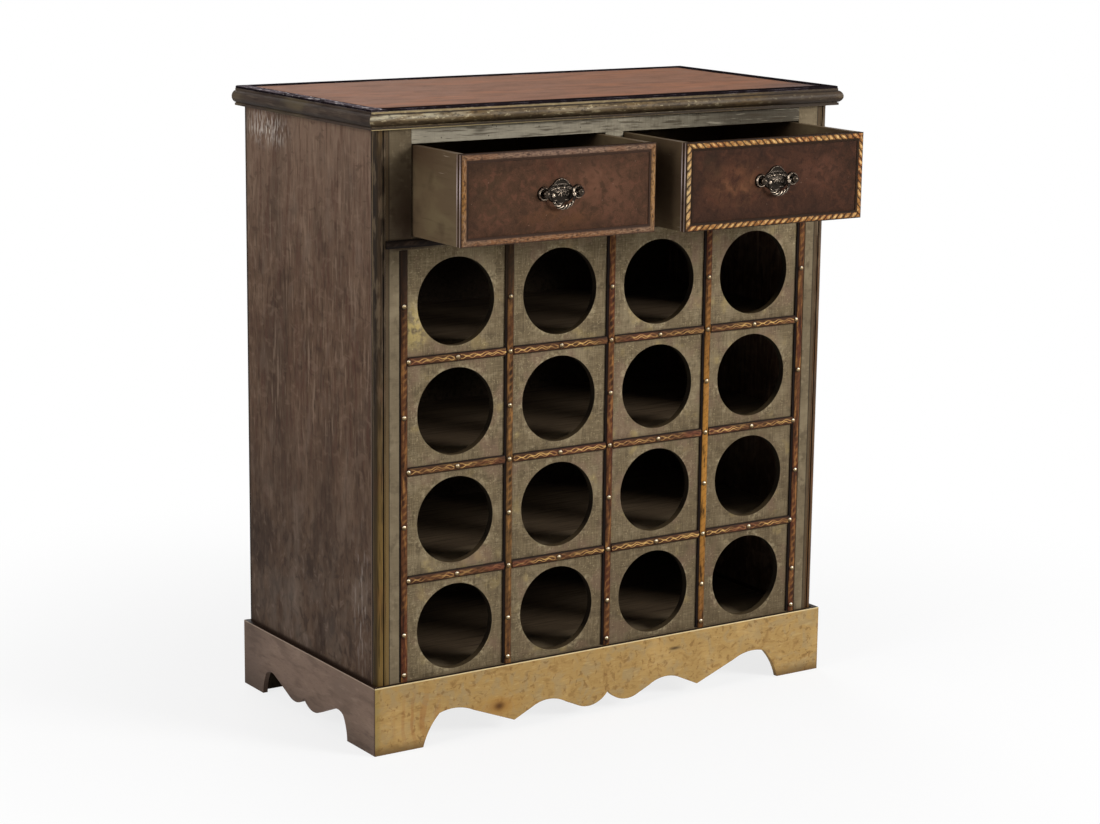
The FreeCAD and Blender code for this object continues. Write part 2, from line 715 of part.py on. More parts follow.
def make_drawer_ways():
    """Guides beside the drawers, kickers above them and stops behind them."""
    run = (frame_back, back_inner)
    guide_rise = (deck_top, deck_top + s.guide_height)
    guides = [board("guide_left", (-side_inner, -opening_outer), run, guide_rise),
              board("guide_centre", (-opening_inner, opening_inner), run, guide_rise),
              board("guide_right", (opening_outer, side_inner), run, guide_rise)]
    node(group("guides", guides), "drawer_guides")
    kicker_rise = (opening_top, top_under)
    outer_edge = opening_outer - s.kicker_lap
    inner_edge = opening_inner + s.kicker_lap
    kickers = [board("kicker_left", (-side_inner, -outer_edge), run, kicker_rise),
               board("kicker_centre", (-inner_edge, inner_edge), run, kicker_rise),
               board("kicker_right", (outer_edge, side_inner), run, kicker_rise)]
    node(group("kickers", kickers), "drawer_kickers")
    stops = []
    for side, sign in SIDES.items():
        middle = (opening_inner + opening_outer) / 2 * sign
        stops.append(board(f"stop_{side}", (middle - s.stop_width / 2, middle + s.stop_width / 2),
                           (back_inner - s.stop_depth, back_inner), (deck_top, deck_top + s.stop_height)))
    node(group("stops", stops), "drawer_stops")


def make_drawer(side, sign, pullout):
    """A drawer box with its dressed front, pulled out as it is at rest."""
    middle = (opening_inner + opening_outer) / 2 * sign
    half_span = (opening_outer - opening_inner) / 2 - s.drawer_gap_side
    low = deck_top + s.drawer_lift
    high = opening_top - s.drawer_gap_top
    face = front - pullout + s.trim_thickness
    inside = face + s.drawer_front_thickness
    rear = inside + s.drawer_side_length
    span = (middle - half_span, middle + half_span)
    level = (low + high) / 2
    post_level = level + s.pull_lift
    wall = half_span - s.drawer_side_setback
    tray = wall - s.drawer_side_thickness
    floor_rise = (low + s.drawer_bottom_lift, low + s.drawer_bottom_lift + s.drawer_bottom_thickness)
    floor_half = tray + s.drawer_groove_depth

    def bolt_holes(piece):
        holes = []
        for hand, way in SIDES.items():
            holes.append(rod(f"{side}_{piece}_hole_{hand}", s.bolt_radius + s.bolt_clearance,
                             s.leather_thickness + s.drawer_front_thickness + s.overrun * 2,
                             middle + s.post_spacing / 2 * way, face - s.leather_thickness - s.overrun,
                             post_level, ALONG_Y))
        return holes

    blank = board(f"{side}_front_blank", span, (face, inside), (low, high))
    groove = board(f"{side}_front_groove", (middle - floor_half, middle + floor_half),
                   (inside - s.drawer_groove_depth, inside + s.overrun), floor_rise)
    node(cut(f"{side}_front_cut", blank, bolt_holes("front") + [groove]), f"{side}_drawer_front")
    hide = board(f"{side}_leather_blank", (span[0] + s.trim_width, span[1] - s.trim_width),
                 (face - s.leather_thickness, face), (low + s.trim_width, high - s.trim_width))
    node(cut(f"{side}_leather_cut", hide, bolt_holes("leather")), f"{side}_drawer_leather")
    node(frame_of_strips(f"{side}_trim", "XZ_Plane", (middle, face, level), half_span, (high - low) / 2,
                         s.trim_width, s.trim_thickness, False), f"{side}_drawer_trim")
    for hand, way in SIDES.items():
        near = middle + tray if way > 0 else middle - wall
        blank = board(f"{side}_side_{hand}_blank", (near, near + s.drawer_side_thickness), (inside, rear),
                      (low, high))
        slot = middle + tray - s.overrun if way > 0 else middle - floor_half
        groove = board(f"{side}_side_{hand}_groove", (slot, slot + s.drawer_groove_depth + s.overrun),
                       (inside - s.overrun, rear + s.overrun), floor_rise)
        node(cut(f"{side}_side_{hand}_cut", blank, [groove]), f"{side}_drawer_side_{hand}")
    node(board(f"{side}_back", (middle - tray, middle + tray), (rear - s.drawer_back_thickness, rear),
               (floor_rise[1], high - s.drawer_back_drop)), f"{side}_drawer_back")
    node(board(f"{side}_bottom", (middle - floor_half, middle + floor_half),
               (inside - s.drawer_groove_depth, rear), floor_rise), f"{side}_drawer_bottom")
    make_pull(side, middle, face - s.leather_thickness, post_level, inside)


def make_pull(side, middle, seat, level, inside):
    """A batwing pull: back plate, two posts with ball ends, their nuts, and a hanging bail."""
    plate_front = seat - s.plate_thickness
    axis = plate_front - s.post_reach
    half = s.post_spacing / 2
    make_plate(side, middle, seat, level)
    bolt_length = inside - axis + s.nut_thickness + s.bolt_tail
    posts = []
    nuts = []
    for hand, way in SIDES.items():
        x = middle + half * way
        name = f"{side}_post_{hand}"
        ball = doc.addObject("Part::Sphere", f"{name}_ball")
        bind(ball, "Radius", s.ball_radius)
        place(ball, x, axis, level)
        bolt = rod(f"{name}_bolt", s.bolt_radius, bolt_length, x, axis, level, ALONG_Y)
        collar = rod(f"{name}_collar", s.collar_radius, s.collar_thickness, x,
                     plate_front - s.collar_thickness, level, ALONG_Y)
        eye = rod(f"{name}_eye", s.pin_radius + s.pin_clearance, (s.ball_radius + s.overrun) * 2,
                  x - s.ball_radius - s.overrun, axis, level, ALONG_X)
        posts.append(cut(name, fuse(f"{name}_body", [ball, bolt, collar]), [eye]))
        nut = doc.addObject("Part::Prism", f"{side}_nut_{hand}_blank")
        nut.Polygon = NUT_SIDE_COUNT
        nut.Placement = FreeCAD.Placement(FreeCAD.Vector(), ALONG_Y)
        bind(nut, "Circumradius", s.nut_radius)
        bind(nut, "Height", s.nut_thickness)
        place(nut, x, inside, level)
        thread = rod(f"{side}_nut_{hand}_thread", s.bolt_radius + s.bolt_clearance,
                     s.nut_thickness + s.overrun * 2, x, inside - s.overrun, level, ALONG_Y)
        nuts.append(cut(f"{side}_nut_{hand}", nut, [thread]))
    node(group(f"{side}_posts", posts), f"{side}_pull_posts")
    node(group(f"{side}_nuts", nuts), f"{side}_pull_nuts")
    make_bail(side, middle, axis, level)


def make_plate(side, middle, seat, level):
    """The back plate: a crest, two round ears for the posts and a drop in the middle."""
    half = s.post_spacing / 2

    def upper(share):
        return half * share[0], s.plate_rise * share[1]

    def lower(share):
        return half * share[0], -(s.plate_drop * share[1])

    def other(point):
        return -point[0], point[1]

    crest = (0, s.plate_rise)
    drop = (0, -s.plate_drop)
    ear = (half + s.ear_radius, 0)
    runs = [
        (upper(PLATE_SHOULDER_SHARE), upper(PLATE_NECK_SHARE)),
        (ear, lower(PLATE_THROAT_SHARE)),
        (lower(PLATE_HIP_SHARE), lower(PLATE_WAIST_SHARE)),
        (drop, other(lower(PLATE_WAIST_SHARE))),
        (other(lower(PLATE_HIP_SHARE)), other(lower(PLATE_THROAT_SHARE))),
        (other(ear), other(upper(PLATE_NECK_SHARE))),
        (other(upper(PLATE_SHOULDER_SHARE)), other(upper(PLATE_CREST_SHARE))),
        (crest, upper(PLATE_CREST_SHARE)),
    ]
    body = new_body(f"{side}_plate", middle, seat, level)
    sketch = new_sketch(body, "XZ_Plane", "outline")
    draw_path(sketch, upper(PLATE_CREST_SHARE), runs)
    for way in SIDES.values():
        draw_circle(sketch, (half * way, 0), s.bolt_radius + s.bolt_clearance)
    pad(body, sketch, s.plate_thickness)
    node(body, f"{side}_pull_plate")


def make_bail(side, middle, axis, level):
    """A half-round loop of wire with a pin at each end that turns in the post's ball."""
    reach = s.post_spacing / 2 - s.ball_radius - s.bail_gap
    loop = reach - s.bail_bend
    turn = loop + s.bail_bend * (1 - ARC_MIDDLE_SHARE)
    dip = s.bail_bend * (1 - ARC_MIDDLE_SHARE)
    body = new_body(f"{side}_bail", middle, axis, level)
    path = new_sketch(body, "XZ_Plane", "path")
    draw_path(path, (-reach, 0), [
        ((-turn, -dip), (-loop, -s.bail_bend)),
        ((0, -reach), (loop, -s.bail_bend)),
        ((turn, -dip), (reach, 0)),
    ], closed=False)
    section = new_sketch(body, "YZ_Plane", "section")
    bind(section, "AttachmentOffset.Base.z", -reach)
    draw_circle(section, (0, 0), s.bail_wire_radius)
    wire = body.newObject("PartDesign::AdditivePipe", f"{side}_bail_wire")
    wire.Profile = section
    wire.Spine = (path, ["Edge1", "Edge2", "Edge3"])
    for hand, way in SIDES.items():
        pin = new_sketch(body, "YZ_Plane", f"pin_{hand}")
        bind(pin, "AttachmentOffset.Base.z", reach * way)
        draw_circle(pin, (0, 0), s.pin_radius)
        pad(body, pin, s.post_spacing / 2 + s.pin_tail - reach, backwards=way < 0)
    node(body, f"{side}_pull_bail")


def check_model():
    """Stops if a feature failed, a cut took nothing away or a sub-part has no sound shape."""
    for item in doc.Objects:
        if {"Invalid", "Error"} & set(item.State):
            raise RuntimeError(f"{item.Name} failed: {item.State}")
    for item, base in cuts:
        if item.Shape.Volume >= base.Shape.Volume:
            raise RuntimeError(f"{item.Name} cuts nothing")
    for item in nodes:
        if item.Shape.isNull() or not item.Shape.isValid() or not item.Shape.Solids:
            raise RuntimeError(f"{item.Label} has no sound shape")


def write_parts():
    os.makedirs("parts", exist_ok=True)
    for item in nodes:
        item.Shape.exportStep(os.path.join("parts", f"{item.Label}.step"))


make_carcass()
make_face_frame()
make_rack()
make_strips()
make_plinth()
make_top()
make_drawer_ways()
make_drawer("left", SIDES["left"], s.left_pullout)
make_drawer("right", SIDES["right"], s.right_pullout)
doc.recompute()
check_model()
write_parts()
print(f"{len(nodes)} sub-parts, {sum(len(item.Shape.Solids) for item in nodes)} solids")
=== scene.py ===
"""Looks of a wine cabinet with two drawers and sixteen bottle holes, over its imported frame."""
import math

import bmesh
import bpy
import numpy as np
from mathutils import Matrix, Vector, geometry, noise


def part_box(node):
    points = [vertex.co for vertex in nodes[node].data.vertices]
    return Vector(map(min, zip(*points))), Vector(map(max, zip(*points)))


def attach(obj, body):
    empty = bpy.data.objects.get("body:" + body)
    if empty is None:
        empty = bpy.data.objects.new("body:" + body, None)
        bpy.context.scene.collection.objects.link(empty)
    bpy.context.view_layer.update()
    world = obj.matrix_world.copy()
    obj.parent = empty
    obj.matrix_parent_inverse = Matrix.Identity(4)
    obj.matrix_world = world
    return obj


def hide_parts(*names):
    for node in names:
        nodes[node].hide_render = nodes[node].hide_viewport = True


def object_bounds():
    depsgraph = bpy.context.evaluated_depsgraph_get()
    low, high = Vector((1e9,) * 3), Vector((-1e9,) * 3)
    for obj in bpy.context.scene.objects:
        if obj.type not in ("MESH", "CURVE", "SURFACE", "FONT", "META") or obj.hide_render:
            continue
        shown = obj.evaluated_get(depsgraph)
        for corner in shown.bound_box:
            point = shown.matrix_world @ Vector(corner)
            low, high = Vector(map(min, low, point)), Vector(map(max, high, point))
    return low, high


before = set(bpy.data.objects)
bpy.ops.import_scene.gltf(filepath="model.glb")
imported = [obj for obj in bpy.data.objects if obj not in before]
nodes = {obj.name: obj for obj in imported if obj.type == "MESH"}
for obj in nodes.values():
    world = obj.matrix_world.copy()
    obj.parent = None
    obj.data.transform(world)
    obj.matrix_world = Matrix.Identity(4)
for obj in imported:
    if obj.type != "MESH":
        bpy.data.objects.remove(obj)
cad_low, cad_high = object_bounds()
slot_of = {name: piece.material_slots[0].material.name for name, piece in nodes.items()}

HANDS = ("left", "right")
MM = 0.001
WELD = 1e-6
FRONT = Vector((0, -1, 0))
BACK = Vector((0, 1, 0))
RIGHT = Vector((1, 0, 0))
UP = Vector((0, 0, 1))


def box_mm(name):
    """Lowest and highest corner of a CAD node at rest, in millimetres."""
    return tuple(np.array(corner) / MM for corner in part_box(name))


SIDE_FACE = box_mm("side_panel_left")[0][0]
SIDE_BACK = box_mm("side_panel_left")[1][1]
FRAME_FACE = box_mm("top_rail")[0][1]
PLINTH_FACE = box_mm("plinth_front")[0][1]
STRIP_FACE = box_mm("upright_strips")[0][1]


def tone(colour):
    """A colour as a display shows it, 0 to 255, as linear light."""
    shares = [value / 255 for value in colour]
    linear = [share / 12.92 if share <= 0.04045 else ((share + 0.055) / 1.055) ** 2.4 for share in shares]
    return (*linear, 1.0)


WAVE_PERIOD = 0.314


class Tree:
    """A node tree, and short ways to add to it."""

    def __init__(self, owner):
        owner.use_nodes = True
        self.tree = owner.node_tree

    def feed(self, socket, value):
        if isinstance(value, bpy.types.NodeSocket):
            self.tree.links.new(value, socket)
        else:
            socket.default_value = value

    def node(self, kind, inputs=None, **settings):
        made = self.tree.nodes.new("ShaderNode" + kind)
        for key, value in settings.items():
            setattr(made, key, value)
        for key, value in (inputs or {}).items():
            self.feed(made.inputs[key], value)
        return made

    def math(self, operation, first, second=0.0):
        return self.node("Math", {0: first, 1: second}, operation=operation).outputs[0]

    def seen(self):
        """1 for what the camera sees, directly or in a reflection or through glass."""
        rays = self.node("LightPath").outputs
        found = rays["Is Camera Ray"]
        for ray in ("Is Glossy Ray", "Is Transmission Ray"):
            found = self.math("MAXIMUM", found, rays[ray])
        return found

    def end(self, output, share, first, second):
        """Ends the tree with a mix of two shaders."""
        mixed = self.node("MixShader", {0: share, 1: first.outputs[0], 2: second.outputs[0]})
        self.feed(self.tree.nodes[output].inputs["Surface"], mixed.outputs[0])


class Finish(Tree):
    """A node material: colours laid over a ground colour, and bumps worked into the surface.

    A pattern is a socket, or "X", "Y" or "Z" for the place along that axis, in metres.
    """

    def __init__(self, name, ground):
        self.material = bpy.data.materials.new(name)
        super().__init__(self.material)
        self.shader = self.tree.nodes["Principled BSDF"]
        self.place = self.node("TexCoord").outputs["Object"]
        self.colour = tone(ground)
        self.normal = None

    def vector(self, operation, first, second=(0, 0, 0), result=0):
        return self.node("VectorMath", {0: first, 1: second}, operation=operation).outputs[result]

    def cloud(self, size, grain=None, ratio=1.0, detail=3.0, twist=0.0, shift=0.0):
        """Noise with spots about size millimetres across, drawn out along the grain."""
        scale = [1 / (size * MM)] * 3
        if grain:
            scale["XYZ".index(grain)] /= ratio
        where = self.node("Mapping", {"Vector": self.place, "Scale": scale,
                                      "Location": (shift, shift * 2, shift * 3)})
        return self.node("TexNoise", {"Vector": where.outputs[0], "Scale": 1.0, "Detail": detail,
                                      "Distortion": twist}).outputs[0]

    def cells(self, size):
        """Distance to the nearest of many scattered points about size millimetres apart."""
        return self.node("TexVoronoi", {"Vector": self.place, "Scale": 1 / (size * MM)}).outputs["Distance"]

    def waves(self, size, twist):
        """Wavy lines about size millimetres apart."""
        return self.node("TexWave", {"Vector": self.place, "Scale": WAVE_PERIOD / (size * MM),
                                     "Distortion": twist, "Detail": 3.0,
                                     "Detail Scale": 0.6}).outputs["Fac"]

    def along(self, axis):
        """Place along an axis, in metres."""
        return self.node("SeparateXYZ", {0: self.place}).outputs[axis]

    def facing(self, axis):
        """How far the surface faces along an axis, -1 to 1."""
        return self.node("SeparateXYZ", {0: self.node("NewGeometry").outputs["Normal"]}).outputs[axis]

    def nearest(self, axis, start, pitch):
        """Distance along an axis from the nearest of evenly spaced places, in millimetres."""
        steps = self.math("DIVIDE", self.math("SUBTRACT", self.along(axis), start * MM), pitch * MM)
        return self.math("MULTIPLY", self.math("SUBTRACT", steps, self.math("ROUND", steps)), pitch)

    def mark(self, name):
        """A value that the mesh carries at its points."""
        return self.node("Attribute", attribute_name=name).outputs["Fac"]

    def band(self, pattern, low, high):
        """0 at low and 1 at high, smooth between them."""
        value = self.along(pattern) if isinstance(pattern, str) else pattern
        return self.node("MapRange", {0: value, 1: low, 2: high}, interpolation_type="SMOOTHSTEP").outputs[0]

    def both(self, mask, *others):
        """One mask within the others."""
        for other in others:
            mask = self.math("MULTIPLY", mask, other)
        return mask

    def between(self, pattern, low, high, soft):
        """1 from low to high and 0 a soft step outside them."""
        return self.both(self.band(pattern, low - soft, low), self.band(pattern, high + soft, high))

    def near(self, spot, reach):
        """1 at a spot and 0 beyond its reach along each axis, both in millimetres."""
        away = self.vector("SUBTRACT", self.place, Vector(spot) * MM)
        shares = self.vector("DIVIDE", away, Vector(reach) * MM)
        return self.band(self.vector("LENGTH", shares, result="Value"), 1.0, 0.0)

    def edges(self, radius, low=0.01, high=0.2):
        """Where the surface turns within radius millimetres."""
        rounded = self.node("Bevel", {"Radius": radius * MM}, samples=4).outputs[0]
        turn = self.vector("DOT_PRODUCT", rounded, self.node("NewGeometry").outputs["Normal"], "Value")
        return self.band(self.math("SUBTRACT", 1.0, turn), low, high)

    def tint(self, colour, mask, share=1.0):
        """Lays a colour over what is there, where the mask says."""
        if share != 1.0:
            mask = self.both(mask, share)
        inputs = {0: mask, 6: self.colour, 7: tone(colour)}
        self.colour = self.node("Mix", inputs, data_type="RGBA").outputs[2]

    def lay(self, *layers):
        """Lays colours one over the other.

        A layer is a colour, a pattern, the values where it starts and is full, its share, and any masks.
        """
        for colour, pattern, low, high, share, *masks in layers:
            self.tint(colour, self.both(self.band(pattern, low, high), *masks), share)

    def dab(self, *dabs):
        """Lays soft spots: the place and reach of each in millimetres, its colour and its share."""
        for spot, reach, colour, share in dabs:
            self.tint(colour, self.near(spot, reach), share)

    def emboss(self, height, depth):
        """Raises the surface by up to depth millimetres."""
        made = self.node("Bump", {"Height": height, "Distance": depth * MM})
        if self.normal:
            self.feed(made.inputs["Normal"], self.normal)
        self.normal = made.outputs[0]

    def done(self, pattern, low, high, specular=0.5, metallic=0.0):
        """Ends the material: its roughness goes from low to high as a pattern goes from 0 to 1."""
        roughness = self.node("MapRange", {0: pattern, 3: low, 4: high}).outputs[0]
        for key, value in (("Base Color", self.colour), ("Roughness", roughness), ("Normal", self.normal),
                           ("Specular IOR Level", specular), ("Metallic", metallic)):
            if value is not None:
                self.feed(self.shader.inputs[key], value)
        return self.material


def wood(name, ground, dark, light, grain, patch=80, streak=6, reach=14, worn=0.5):
    """Stained and rubbed wood: streaks along the grain, patches, pores and worn edges."""
    made = Finish(name, ground)
    patches = made.cloud(patch, grain, 2.0, twist=0.4)
    streaks = made.cloud(streak, grain, reach, detail=4, shift=3.1)
    rubbed = made.cloud(streak * 0.6, grain, reach * 1.2, detail=4, shift=7.7)
    fine = made.cloud(1.3, grain, reach * 1.6, detail=2, shift=5.3)
    made.lay((light, patches, 0.48, 0.72, 0.5),
             (dark, patches, 0.46, 0.26, 0.45),
             (dark, streaks, 0.5, 0.68, 0.65),
             (light, rubbed, 0.54, 0.72, 0.5),
             (dark, fine, 0.5, 0.7, 0.45),
             (dark, made.cells(7), 0.16, 0.06, 0.6, made.band(patches, 0.5, 0.6)),
             (light, rubbed, 0.4, 0.6, worn, made.edges(1.6)))
    made.emboss(fine, 0.12)
    made.emboss(streaks, 0.3)
    return made, streaks


def linen(name, ground, dark, light, weave=1.0):
    """Boards covered in waxed linen: threads both ways, slubs, rubbed and yellowed patches."""
    made = Finish(name, ground)
    patches = made.cloud(60, twist=0.5)
    made.lay((light, patches, 0.47, 0.7, 0.5),
             (dark, made.cloud(14, detail=4, shift=2.2), 0.5, 0.7, 0.5),
             (light, made.cloud(8, detail=5, shift=9.4), 0.56, 0.72, 0.45))
    for grain, shift in (("Z", 4.4), ("X", 6.1)):
        threads = made.cloud(1.5, grain, 16, detail=2, shift=shift)
        made.lay((dark, threads, 0.52, 0.7, 0.35 * weave),
                 (light, threads, 0.46, 0.3, 0.3 * weave))
        made.emboss(threads, 0.18 * weave)
    return made, patches


def leather(name, ground, dark, light, grain=None, cloudy=70):
    """Waxed leather: cloudy dye, soft stains, flecks and a fine pebble grain."""
    made = Finish(name, ground)
    clouds = made.cloud(cloudy, grain, 2.5, detail=4, twist=0.6)
    stains = made.cloud(cloudy * 0.4, grain, 2.0, detail=4, twist=0.5, shift=3.3)
    flecks = made.cloud(3.0, grain, 2.0, detail=4, shift=8.2)
    grit = made.cloud(1.2, grain, 1.5, shift=6.6)
    made.lay((light, clouds, 0.45, 0.7, 0.65),
             (dark, stains, 0.46, 0.72, 0.6),
             (light, flecks, 0.55, 0.75, 0.35),
             (dark, flecks, 0.45, 0.3, 0.4),
             (dark, grit, 0.52, 0.66, 0.6),
             (light, grit, 0.47, 0.34, 0.5))
    made.emboss(made.cells(1.6), 0.12)
    made.emboss(stains, 0.2)
    return made, stains


def finish_side():
    """Side boards: worn brown, streaked up and down, smeared at the top, smudged grey below, with painted
    shade along the foot.
    """
    made, streaks = wood("side_finish", (89, 68, 53), (48, 35, 27), (122, 100, 82), "Z",
                         patch=48, streak=7, reach=6)
    lower, upper, foot = made.band("Z", 0.5, 0.2), made.band("Z", 0.2, 0.5), made.band("Z", 0.4, 0.2)
    soft = made.cloud(62, "Z", 1.6, detail=6, twist=0.4, shift=6.3)
    strokes = made.cloud(6, "Z", 9, shift=5.9)
    crossed = made.cloud(14, "Y", 1.6, detail=6, twist=0.6, shift=7.3)
    mottles = made.cloud(15, "Z", 1.3, detail=6, twist=0.9, shift=3.7)
    smear = made.near((SIDE_FACE, 200, 845), (40, 90, 36))
    haze = made.near((SIDE_FACE, 120, 150), (40, 190, 120))
    scuffs = made.near((SIDE_FACE, -70, 210), (40, 34, 150))
    made.lay(((136, 112, 95), "Z", 0.58, 0.88, 0.45),
             ((70, 54, 43), "Z", 0.5, 0.2, 0.6),
             ((102, 87, 75), soft, 0.5, 0.66, 0.55, lower),
             ((46, 34, 27), soft, 0.5, 0.34, 0.65, lower),
             ((52, 38, 29), made.cloud(80, "Z", 2.6, detail=4, twist=0.2, shift=4.7), 0.47, 0.66, 0.5),
             ((76, 50, 40), strokes, 0.52, 0.64, 0.55, upper),
             ((134, 112, 95), strokes, 0.42, 0.3, 0.5, upper),
             ((126, 104, 88), crossed, 0.54, 0.68, 0.3, upper),
             ((62, 45, 35), crossed, 0.44, 0.3, 0.5, upper),
             ((42, 30, 23), mottles, 0.5, 0.64, 0.6, foot),
             ((112, 95, 83), mottles, 0.44, 0.31, 0.5, foot),
             ((106, 89, 76), made.cloud(20, "Z", 2.4, detail=5, twist=0.3, shift=8.8), 0.54, 0.72, 0.4),
             ((200, 190, 180), made.cloud(3.2, "Z", 5, detail=2, shift=2.6), 0.48, 0.6, 0.8, smear),
             ((104, 93, 84), made.cloud(36, "Z", 2), 0.42, 0.62, 0.4, haze),
             ((150, 138, 130), made.cloud(5, "Z", 6, shift=1.4), 0.54, 0.66, 0.6, scuffs),
             ((30, 22, 17), "Y", (SIDE_BACK - 7) * MM, (SIDE_BACK - 3) * MM, 0.8),
             # Painted shade along the foot, where the side meets the plinth.
             ((34, 22, 15), "Z", 0.105, 0.1, 0.9))
    return made.done(streaks, 0.5, 0.75, 0.06)


REED_EDGE = (0.3662, 0.3668)
REED_LINE = (0.3654, 0.3664, 0.0003)


def finish_frame():
    """Frame boards: olive grey, with a painted shadow of the left drawer on the stile beside it, and a reed
    along each outer edge.
    """
    made, patches = linen("frame_finish", (104, 91, 70), (66, 55, 40), (138, 124, 99), weave=0.35)
    # Mask of a painted shadow: the left drawer's shadow on the stile beside it, laid on as dark colour.
    painted_drawer_shadow = made.near((-336, FRAME_FACE, 752), (92, 90, 160))
    across = made.math("ABSOLUTE", made.along("X"))
    reed = made.band(across, *REED_EDGE)
    made.lay(((144, 131, 108), "X", -0.33, -0.333, 0.12, made.band("Z", 0.71, 0.66)),
             ((44, 31, 21), "Z", 0.702, 0.71, 0.95, painted_drawer_shadow),
             ((70, 55, 38), across, *REED_EDGE, 0.85),
             ((124, 99, 54), "Z", 0.6, 0.2, 0.6, made.band("X", 0.1, -0.1), reed))
    made.tint((24, 18, 12), made.between(across, *REED_LINE), 0.85)
    made.tint((156, 142, 114), made.edges(1.4), 0.35)
    return made.done(patches, 0.5, 0.75, 0.08)


def finish_rail():
    """The pale rubbed rail above the drawers."""
    made, patches = linen("rail_finish", (132, 123, 104), (78, 68, 52), (170, 161, 140))
    scratches = made.cloud(2.6, "X", 14, detail=4, shift=1.3)
    made.lay(((172, 164, 146), "X", 0.15, -0.25, 0.5),
             ((58, 51, 41), "X", 0.0, 0.24, 0.85),
             ((62, 52, 38), scratches, 0.53, 0.66, 0.7),
             ((178, 168, 146), scratches, 0.42, 0.3, 0.5),
             ((50, 40, 29), made.cells(11), 0.13, 0.05, 0.8))
    made.dab(((-223, FRAME_FACE, 863), (16, 9, 5), (58, 48, 35), 0.7))
    return made.done(patches, 0.5, 0.7, 0.1)


HOLE_STEPS = (("X", 85.75, 171.5), ("Z", 166.25, 154.5))
HOLE_RADIUS = 61.8
RUBBED_RIM = 14


def finish_rack():
    """Panels round the bottle holes: stained linen, rubbed pale round the holes, painted shade in their walls
    and painted light on the walls' upward faces.
    """
    made, patches = linen("rack_finish", (107, 93, 70), (68, 57, 42), (146, 131, 104))
    stain = made.near((-323, box_mm("rack_panels_row_1")[0][1], 600), (34, 20, 48))
    slope = made.math("SUBTRACT", made.along("X"), made.along("Z"))
    offsets = [made.nearest(*steps) for steps in HOLE_STEPS]
    apart = made.math("SQRT", made.math("ADD", *[made.both(offset, offset) for offset in offsets]))
    rim = made.both(made.band(apart, HOLE_RADIUS + RUBBED_RIM, HOLE_RADIUS),
                    made.band(made.cloud(40, shift=2.7), 0.48, 0.6))
    wall = made.band(made.facing("Y"), -0.85, -0.45)
    yellowed = made.band(patches, 0.4, 0.6)
    made.lay(((156, 136, 90), made.cloud(30, detail=4, shift=5.9), 0.56, 0.7, 0.6, yellowed),
             ((118, 94, 78), made.cloud(44, shift=1.9), 0.52, 0.68, 0.5),
             ((174, 158, 122), made.cloud(2.6, detail=4, shift=3.6), 0.6, 0.72, 0.5),
             ((188, 166, 104), made.cloud(9, detail=4, shift=7.1), 0.35, 0.6, 0.75, stain),
             ((70, 57, 42), slope, -0.6, 0.2, 0.4),
             ((178, 163, 130), made.cloud(5, detail=4, shift=4.2), 0.46, 0.62, 0.4, rim))
    made.tint((156, 142, 114), made.edges(1.2), 0.4)
    # Painted shade: the walls of the holes laid near black; painted light: their upward faces laid paler.
    made.tint((15, 10, 7), wall, 0.95)
    made.lay(((84, 70, 50), made.facing("Z"), 0.5, 0.8, 0.8, wall))
    return made.done(patches, 0.55, 0.8, 0.06)


CORNER_GROOVE = (2.8, 4.7, 0.3)
CORNER_LINE = (9, 10, 0.3)
CORNER_SEAM = (1.1, 0.5)


def finish_corner():
    """Reeded corner post: brown, rubbed to gold lower down, black on its outer side, with painted shade in
    its grooves.
    """
    made, streaks = wood("corner_finish", (62, 48, 34), (36, 27, 18), (92, 77, 55), "Z",
                         patch=40, streak=3, worn=0.6)
    low, high = (corner * MM for corner in box_mm("corner_moulding_right"))
    start, end, soft = (value * MM for value in CORNER_GROOVE)
    line_start, line_end, line_soft = CORNER_LINE
    line = made.between("Y", (FRAME_FACE + line_start) * MM, (FRAME_FACE + line_end) * MM, line_soft * MM)
    across = made.math("ABSOLUTE", made.along("X"))
    made.lay(((132, 104, 50), "X", 0.1, -0.1, 0.55, made.band("Z", 0.6, 0.2)),
             ((84, 55, 25), "X", -0.1, 0.1, 0.7, made.band("Z", 0.8, 0.5)),
             ((140, 112, 62), made.cloud(36, "Z", 3, shift=6.6), 0.56, 0.7, 0.3),
             ((104, 62, 38), made.cloud(30, "Z", 3, shift=1.7), 0.57, 0.7, 0.3),
             ((34, 25, 16), made.cloud(2.2, "Z", 30, detail=2, shift=4.9), 0.52, 0.62, 0.6),
             ((24, 18, 13), made.math("ABSOLUTE", made.facing("X")), 0.5, 0.8, 0.7),
             ((88, 70, 57), "Y", high[1] - end, high[1] - start, 1.0),
             ((118, 98, 68), "Z", 0.3, 0.6, 0.7, line))
    # Painted shade: near black laid into the front and side grooves.
    made.tint((17, 12, 8), made.between(across, low[0] + start, low[0] + end, soft), 0.9)
    made.tint((17, 12, 8), made.between("Y", high[1] - end, high[1] - start, soft), 0.9)
    seam = [low[0] + value * MM for value in CORNER_SEAM]
    rubbed = made.cloud(7, "Z", 5, detail=4, shift=9.1)
    made.lay(((36, 27, 19), across, *seam, 0.6),
             ((112, 95, 74), rubbed, 0.5, 0.64, 0.5, made.band("Z", 0.3, 0.7)))
    return made.done(streaks, 0.35, 0.55, 0.1)


EDGE_LINES = ((893.6, 895.4), (891.4, 893.0), (872.4, 874.9), (871.4, 872.2))
EDGE_LINE_SOFT = 0.3


